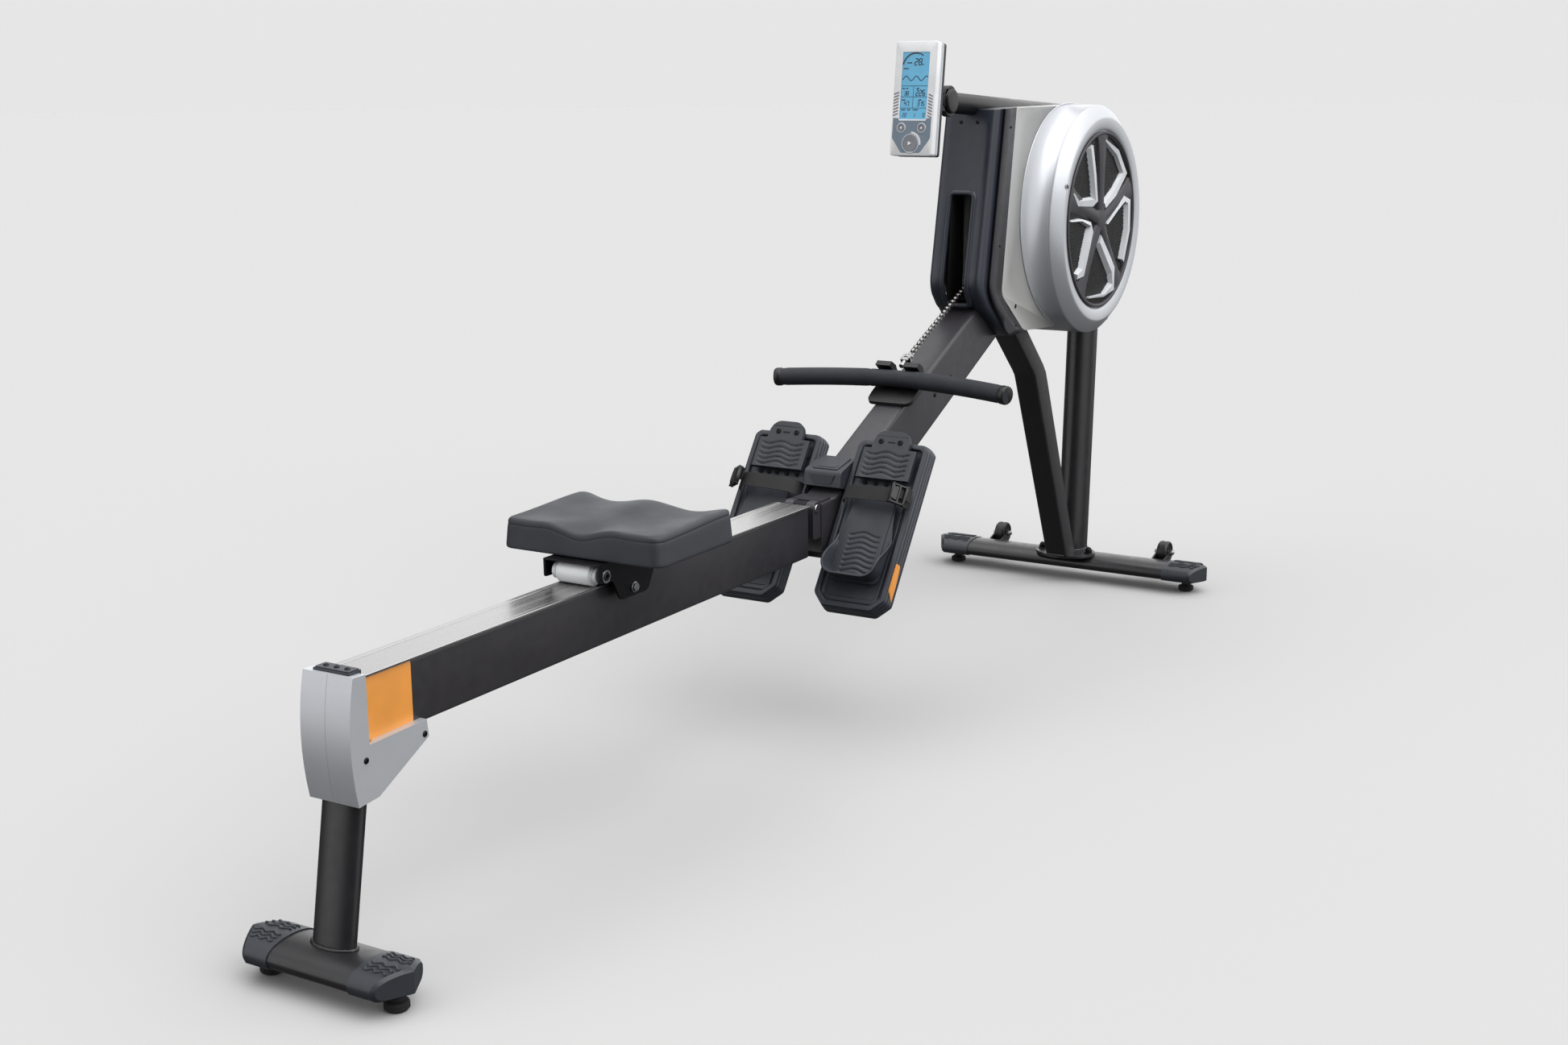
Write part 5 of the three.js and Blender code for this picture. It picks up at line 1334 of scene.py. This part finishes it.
def strap(label, side, place):
    """Webbing over the instep, with its ladder buckle at the outer edge and a loose tail."""
    line = bezier((-61, -6), (-60, 22), (-36, 30), (-4, 32), steps=14)
    line += bezier((-4, 32), (28, 34), (54, 36), (61, -6), steps=18) + [(61, -6)]
    slope = place.to_3x3() @ Vector((1, 0, 0))
    flat = [(-0.9, -12.5), (0.9, -12.5), (0.9, 12.5), (-0.9, 12.5)]
    band = Shape()
    path = [place @ Vector((45 - 3 * math.sin((v * side + 61) / 39), v * side, w)) for v, w in line]
    band.add(sweep(path, flat, up=slope))
    tail = bezier((40, 37), (52, 38), (60, 30), (64, 16), steps=12) + [(64, 16), (64.5, 8)]
    path = [place @ Vector((44 + 0.12 * v, v * side, w)) for v, w in tail]
    band.add(sweep(path, [(a, b * 0.9) for a, b in flat], up=slope))
    piece(f"webbing_{label}", band, "frame", ["webbing"], [f"foot_strap_{label}"], bevel=0.4)

    spot = place @ Matrix.Translation((44, side * 53, 33)) @ Matrix.Rotation(-side * math.radians(42), 4, "X")
    buckle = Shape()
    for u0, u1, v0, v1 in ((-17, 17, -14, -9.5), (-17, 17, 9.5, 14), (-17, -13.4, -14, 14),
                           (13.4, 17, -14, 14), (-15, 15, -2, 1.6)):
        buckle.add(block(u0, u1, v0, v1, -1.6, 5.8), spot)
    buckle.add(prism(rounded([(-12.5, 2), (12.5, 2), (10, 13), (-10, 13)], 2), 3.6, 7, "xy"), spot)
    piece(f"buckle_{label}", buckle, "frame", ["black"], [f"strap_buckle_{label}"],
          bevel=0.9)


# ---------------------------------------------------------------- boom and monitor
def boom():
    """The boom with its cross tube, the weld between them and the saddle on the housing."""
    slope, radius = BOOM["slope"], BOOM["radius"]
    start = Vector((BOOM["x"], 0, BOOM["z"]))
    run = Vector((math.cos(slope), 0, -math.sin(slope)))
    end = start + run * ((BOOM["end"] - BOOM["x"]) / math.cos(slope))
    shape = Shape().rod(radius, start, end, sides=56, lip=5)
    half, cross = BOOM["half"], BOOM["cross"]
    shape.rod(cross, (start.x, 1 - half, start.z), (start.x, half - 1, start.z), sides=56, lip=1)
    cap = [(0, 0), (20.6, 0), (cross, 0.6), (cross, 2.4), (20.4, 3.4), (17, 3.8), (0, 3.9)]
    for _, side in SIDES:
        shape.add(lathe(cap, 56), turn_to((0, side, 0), (start.x, side * (half - 3.9), start.z)), 1)
    rings = []
    for y, rise in circle(radius, 36):
        spot = Vector((start.x + math.sqrt(cross ** 2 - y ** 2), y, start.z + rise - 1))
        rings.append([spot + Vector((b, 0, c)) * 2.4 for b, c in circle(1, 8)])
    shape.add(loft(rings, loop=True))
    piece("boom_tube", shape, "frame", ["frame", "black"], ["monitor_boom"], crease=50)

    outline = arc((0, 0), 19.6, 200, 340, 20) + [(38, -8), (38, -16), (-38, -16), (-38, -8)]
    mid = start + run * 190
    saddle = Shape().add(prism(outline, mid.x - 26, mid.x + 30, "yz"), Matrix.Translation((0, 0, mid.z)))
    piece("boom_saddle", saddle, "frame", ["shroud"], bevel=1.5)


SEGMENTS = {"a": (0, 1, 1, 1), "b": (1, 1, 1, 0.5), "c": (1, 0.5, 1, 0), "d": (0, 0, 1, 0),
            "e": (0, 0.5, 0, 0), "f": (0, 1, 0, 0.5), "g": (0, 0.5, 1, 0.5)}
DIGITS = {"0": "abcdef", "1": "bc", "2": "abged", "3": "abgcd", "4": "fgbc", "5": "afgcd", "6": "afgedc",
          "7": "abc", "8": "abcdefg", "9": "abcdfg", "-": "g"}


def stroke(shape, start, end, width):
    """A raised line of ink on the display, from one (across, up) point to another."""
    a, b = Vector(start), Vector(end)
    run = (b - a).normalized()
    over = Vector((-run.y, run.x)) * width / 2
    corners = [a - over, b - over, b + over, a + over]
    shape.add(prism([(-p.x, p.y) for p in corners], 0.8, 1.1, "yz"), HEAD)


def number(shape, text, first, up, height, width):
    """Seven-segment digits, leaning a little, from left to right."""
    for k, sign in enumerate(text):
        left = first + k * width * 1.45
        for name in DIGITS[sign]:
            x0, y0, x1, y1 = SEGMENTS[name]
            lean = 0.10 * height
            start = Vector((left + x0 * width + y0 * lean, up + y0 * height))
            end = Vector((left + x1 * width + y1 * lean, up + y1 * height))
            gap = (end - start).normalized() * height * 0.05
            stroke(shape, start + gap, end - gap, height * 0.17)


LABELS = ((-18, -8, 62), (-24, -14, 52), (-24, -19, 17.5), (-17, -13, 17.5), (4, 9, 17.5), (-24, -16, -19.5),
          (-12, -6, -19.5), (-1, 9, -19.5), (-24, -17, -2.5), (9, 15, -2.5), (12, 15, 59))  # left, right, up
READINGS = (  # text, left edge, foot, height, width of a digit
    ("28", -3, 58, 11, 5.4), ("226", 3, 5, 9.5, 4.4), ("38", -20, 5.5, 7, 3.4), ("47", -19, -13, 8, 3.6),
    ("315", 7, -13, 8, 3.4), ("22", -21, -32, 6.5, 3), ("1", 0, -32, 6.5, 3), ("0", 19, -32, 6.5, 3),
)


def display_ink():
    """A gauge arc, a pulse wave, ruled cells and plain digits."""
    ink = Shape()
    gauge = arc((-1, 54), 25, 168, 55, 26)
    for k, (a, b) in enumerate(zip(gauge, gauge[1:])):
        stroke(ink, a, b, 2.6 if k < 20 else 2.0)
    for angle in range(60, 170, 12):
        low, high = (arc((-1, 54), radius, angle, angle, 1)[0] for radius in (21.5, 23))
        stroke(ink, low, high, 0.6)
    for left, right, up in LABELS:
        stroke(ink, (left, up), (right, up), 1.9)
    waves = [(-25 + i * 1.25, 35 + 3.9 * math.sin((i * 1.25 - 2) * 2 * math.pi / 20)) for i in range(41)]
    for a, b in zip(waves, waves[1:]):
        stroke(ink, a, b, 1.5)
    for up in (22, 3, -16.5):
        stroke(ink, (-26, up), (26, up), 0.8)
    stroke(ink, (-2, -16.5), (-2, 22), 0.7)
    for reading in READINGS:
        number(ink, *reading)
    piece("display_ink", ink, "monitor", ["ink"], crease=30)


KEYS = (("left", 21, -51, 6.5), ("right", -19, -51, 6.5), ("play", 1, -78, 14.5))  # name, Y, Z, radius


def monitor_shell():
    """The case, its clamp on the cross tube, the key panel and the slashes beside it."""
    inner = rectangle(-26.9, 26.9, -36.4, 81.4, 1.2, 5)
    outer = rectangle(-41, 41, -99.5, 99.5, 5, 5)

    def ring(outline, x, more=0.0):
        return [(x, y - math.copysign(more, y), z - math.copysign(more, z)) for y, z in outline]

    case = Shape()
    window = [ring(inner, x, more) for x, more in ((3.0, 0), (2.4, 0), (0.5, 0), (0, -0.6))]
    front = ((0, 1.4), (0.5, 0.4), (1.6, 0), (14, 0), (14.4, 0.6), (15, 2))
    waist = ((14.6, 1.2), (15, 0.9), (20, 0.9), (20.6, 2.0), (21.6, 2.0), (22.2, 0.9), (26.6, 0.9), (27, 1.6))
    back = ((26.8, 1.4), (27.2, 0.4), (34, 0.4), (35.4, 1.2), (36, 3))
    for shade, (start, levels) in enumerate(((window, front), ([], waist), ([], back))):
        case.add(loft(start + [ring(outer, x, more) for x, more in levels]), HEAD, shade)
    tube = HEAD.inverted() @ Vector((BOOM["x"], 0, BOOM["z"]))
    for low, high in ((-34, -22), (22, 34)):
        clamp = [(22, low), (26.5, low), (27.5, low + 1), (27.5, high - 1), (26.5, high), (22, high)]
        case.add(lathe(clamp, 56, loop=True), HEAD @ across(tube.x, tube.z), 2)
        for side_z in (-20, 11):
            case.add(block(35, tube.x - 12, low, high, tube.z + side_z, tube.z + side_z + 9), HEAD, 2)
    panel = rounded([(38, -34), (27.5, -34), (26.5, -38.5), (-26.5, -38.5), (-27.5, -34), (-37, -34),
                     (-37, -69), (-18, -94.5), (19, -94.5), (38, -69)], [1, 3, 1, 1, 3, 1, 3, 3, 3, 3], 4)
    case.add(prism(panel, -0.45, 0.8, "yz"), HEAD, 3)
    for k in range(8):
        up = 8.6 - 5.3 * k
        for left, right, rise in ((-39.5, -29.5, 3.4), (29, 37.5, -3.4)):
            bar = [(-left, up), (-right, up + rise), (-right, up + rise - 2.4), (-left, up - 2.4)]
            case.add(prism(rounded(bar, 0.5, 2), -0.4, 0.8, "yz"), HEAD, 4)
    collar = ((-0.7, 0.4), (-0.4, 1.2), (0.9, 1.2), (1.5, 0.4), (1.5, -0.4), (-0.7, -0.4))
    for (_, y, z, _), radius in zip(KEYS, (7.4, 7.4, 15.6)):
        case.add(lathe([(radius + more, h) for more, h in collar], 48, loop=True),
                 HEAD @ turn_to((-1, 0, 0), (0, y, z)), 5)
    facing = Matrix(((0, 0, -1, 0), (-1, 0, 0, 1), (0, 1, 0, -78), (0, 0, 0, 1)))
    glow = [(17.8, 0.2), (17.8, 1.0), (20.2, 1.0), (20.2, 0.2)]
    case.add(capped_arc(glow, 20, -8, 96), HEAD @ facing, 6)
    case.add(prism(rounded([(8, -92), (-6, -92), (-4, -95.6), (6, -95.6)], 1, 3), -1.0, 0.6, "yz"), HEAD, 5)
    piece("monitor_shell", case, "monitor",
          ["white", "light", "black", "panel", "slash", "light", "white"], ["monitor_case"], crease=30)


def monitor_keys():
    """The window, the ink behind it and the three keys."""
    glass = Shape().add(prism(rectangle(-26.5, 26.5, -36, 81, 1.2), 1.0, 2.2, "yz"), HEAD)
    piece("display_glass", glass, "monitor", ["lcd"], ["monitor_screen"], bevel=0.15)
    display_ink()

    for name, y, z, radius in KEYS:
        dish = [(0, 0.9), (radius * 0.5, 1.0), (radius * 0.72, 1.5), (radius - 0.8, 1.6), (radius - 0.2, 1.0),
                (radius, 0.2), (radius, -4.5), (0, -4.5)]
        key = Shape().add(lathe(dish, 56), HEAD @ turn_to((-1, 0, 0), (0, y, z)))
        if name == "play":
            mark = [(y + 4.4, z + 3.6), (y + 4.4, z - 3.6), (y - 2.4, z)]
            key.add(prism(rounded(mark, 0.8, 2), -1.6, -0.9, "yz"), HEAD, 1)
        else:
            key.add(prism(rectangle(y - 1.6, y + 1.6, z - 1.6, z + 1.6, 0.5), -1.5, -0.9, "yz"), HEAD, 1)
        piece(f"key_{name}", key, f"{name}_button", ["key", "white"], [f"button_{name}"],
              crease=40)


# ---------------------------------------------------------------- stage
def surround():
    """A plain pale surround; what it lights is a dim studio with a wide box above and one on each side."""
    world = bpy.data.worlds.new("surround")
    world.use_nodes = True
    tree = world.node_tree
    shown = tree.nodes["Background"]
    shown.inputs["Color"].default_value = linear(230, 230, 230)
    studio = tree.nodes.new("ShaderNodeBackground")
    studio.inputs["Color"].default_value = (1, 1, 1, 1)
    place = tree.nodes.new("ShaderNodeTexCoord").outputs["Generated"]
    total = None
    for aim, edge, core, level in BOXES:
        dot = tree.nodes.new("ShaderNodeVectorMath")
        dot.operation = "DOT_PRODUCT"
        tree.links.new(place, dot.inputs[0])
        dot.inputs[1].default_value = Vector(aim).normalized()
        box = tree.nodes.new("ShaderNodeMapRange")
        box.interpolation_type = "SMOOTHSTEP"
        set_range(box, edge, core, 0, level)
        tree.links.new(dot.outputs["Value"], box.inputs["Value"])
        joined = tree.nodes.new("ShaderNodeMath")
        joined.operation = "ADD"
        joined.inputs[1].default_value = AMBIENT
        tree.links.new(box.outputs["Result"], joined.inputs[0])
        if total:
            tree.links.new(total, joined.inputs[1])
        total = joined.outputs["Value"]
    tree.links.new(total, studio.inputs["Strength"])
    choice = tree.nodes.new("ShaderNodeMixShader")
    tree.links.new(tree.nodes.new("ShaderNodeLightPath").outputs["Is Camera Ray"], choice.inputs["Fac"])
    tree.links.new(studio.outputs["Background"], choice.inputs[1])
    tree.links.new(shown.outputs["Background"], choice.inputs[2])
    tree.links.new(choice.outputs["Shader"], tree.nodes["World Output"].inputs["Surface"])
    bpy.context.scene.world = world


AMBIENT = 0.10
BOXES = (  # towards, cosine at its edge, cosine at its core, brightness
    ((0, 0, 1), 0.55, 0.9, 1.5),
    ((-0.9, 0.75, 0.35), 0.75, 0.93, 1.15),
    ((-0.1, -1, 0.35), 0.7, 0.92, 1.1),
    ((0.9, -0.5, 0.5), 0.75, 0.95, 1.2),
    ((0.88, 0.48, 0.2), 0.86, 0.97, 1.3),
)
FLOOR_GREY = 181  # comes out at the surround's own brightness under these lights
FLOOR_REACH = 60  # metres
SUNS = (  # name, place it shines from, strength, angle it covers
    ("key_sun", (-0.6, -3.8, 4.2), 1.2, 0.9),
    ("top_sun", (0.5, 0, 6), 0.65, 1.2),
)


def stage():
    """A wide pale floor that meets the surround, and soft light from above."""
    scene = bpy.context.scene
    scene.view_settings.view_transform = "Standard"
    floor_mesh = bpy.data.meshes.new("floor")
    angles = [2 * math.pi * i / 96 for i in range(96)]
    rim = [(FLOOR_REACH * math.cos(a), FLOOR_REACH * math.sin(a), -0.0004) for a in angles]
    floor_mesh.from_pydata(rim, [], [list(range(96))])
    floor = bpy.data.objects.new("floor", floor_mesh)
    scene.collection.objects.link(floor)
    sheet = Finish("floor_sheet", (FLOOR_GREY,) * 3, 0.95)
    sheet.vary(0.03, 3)
    sheet.set("Specular IOR Level", 0.0)
    floor_mesh.materials.append(sheet.material)
    floor.visible_diffuse = floor.visible_glossy = False
    surround()
    for name, place, energy, spread in SUNS:
        light = bpy.data.lights.new(name, "SUN")
        light.energy, light.angle = energy, spread
        lamp = bpy.data.objects.new(name, light)
        lamp.rotation_euler = (-Vector(place)).to_track_quat("-Z", "Y").to_euler()
        scene.collection.objects.link(lamp)


floor_bars()
floor_caps()
levelling_feet()
transport_wheels()
slide_rail()
rear_leg()
fold_hinge()
seat_pad()
seat_carriage()
main_beam()
nose_cover()
front_legs()
shroud_front()
for label, side in SIDES:
    casing(label, side)
    grille(label, side)
    footboard(label, side)
flywheel()
drive_chain()
handle()
refined("handle_cradle", "frame", "black", 1.2)
boom()
monitor_shell()
monitor_keys()
stage()
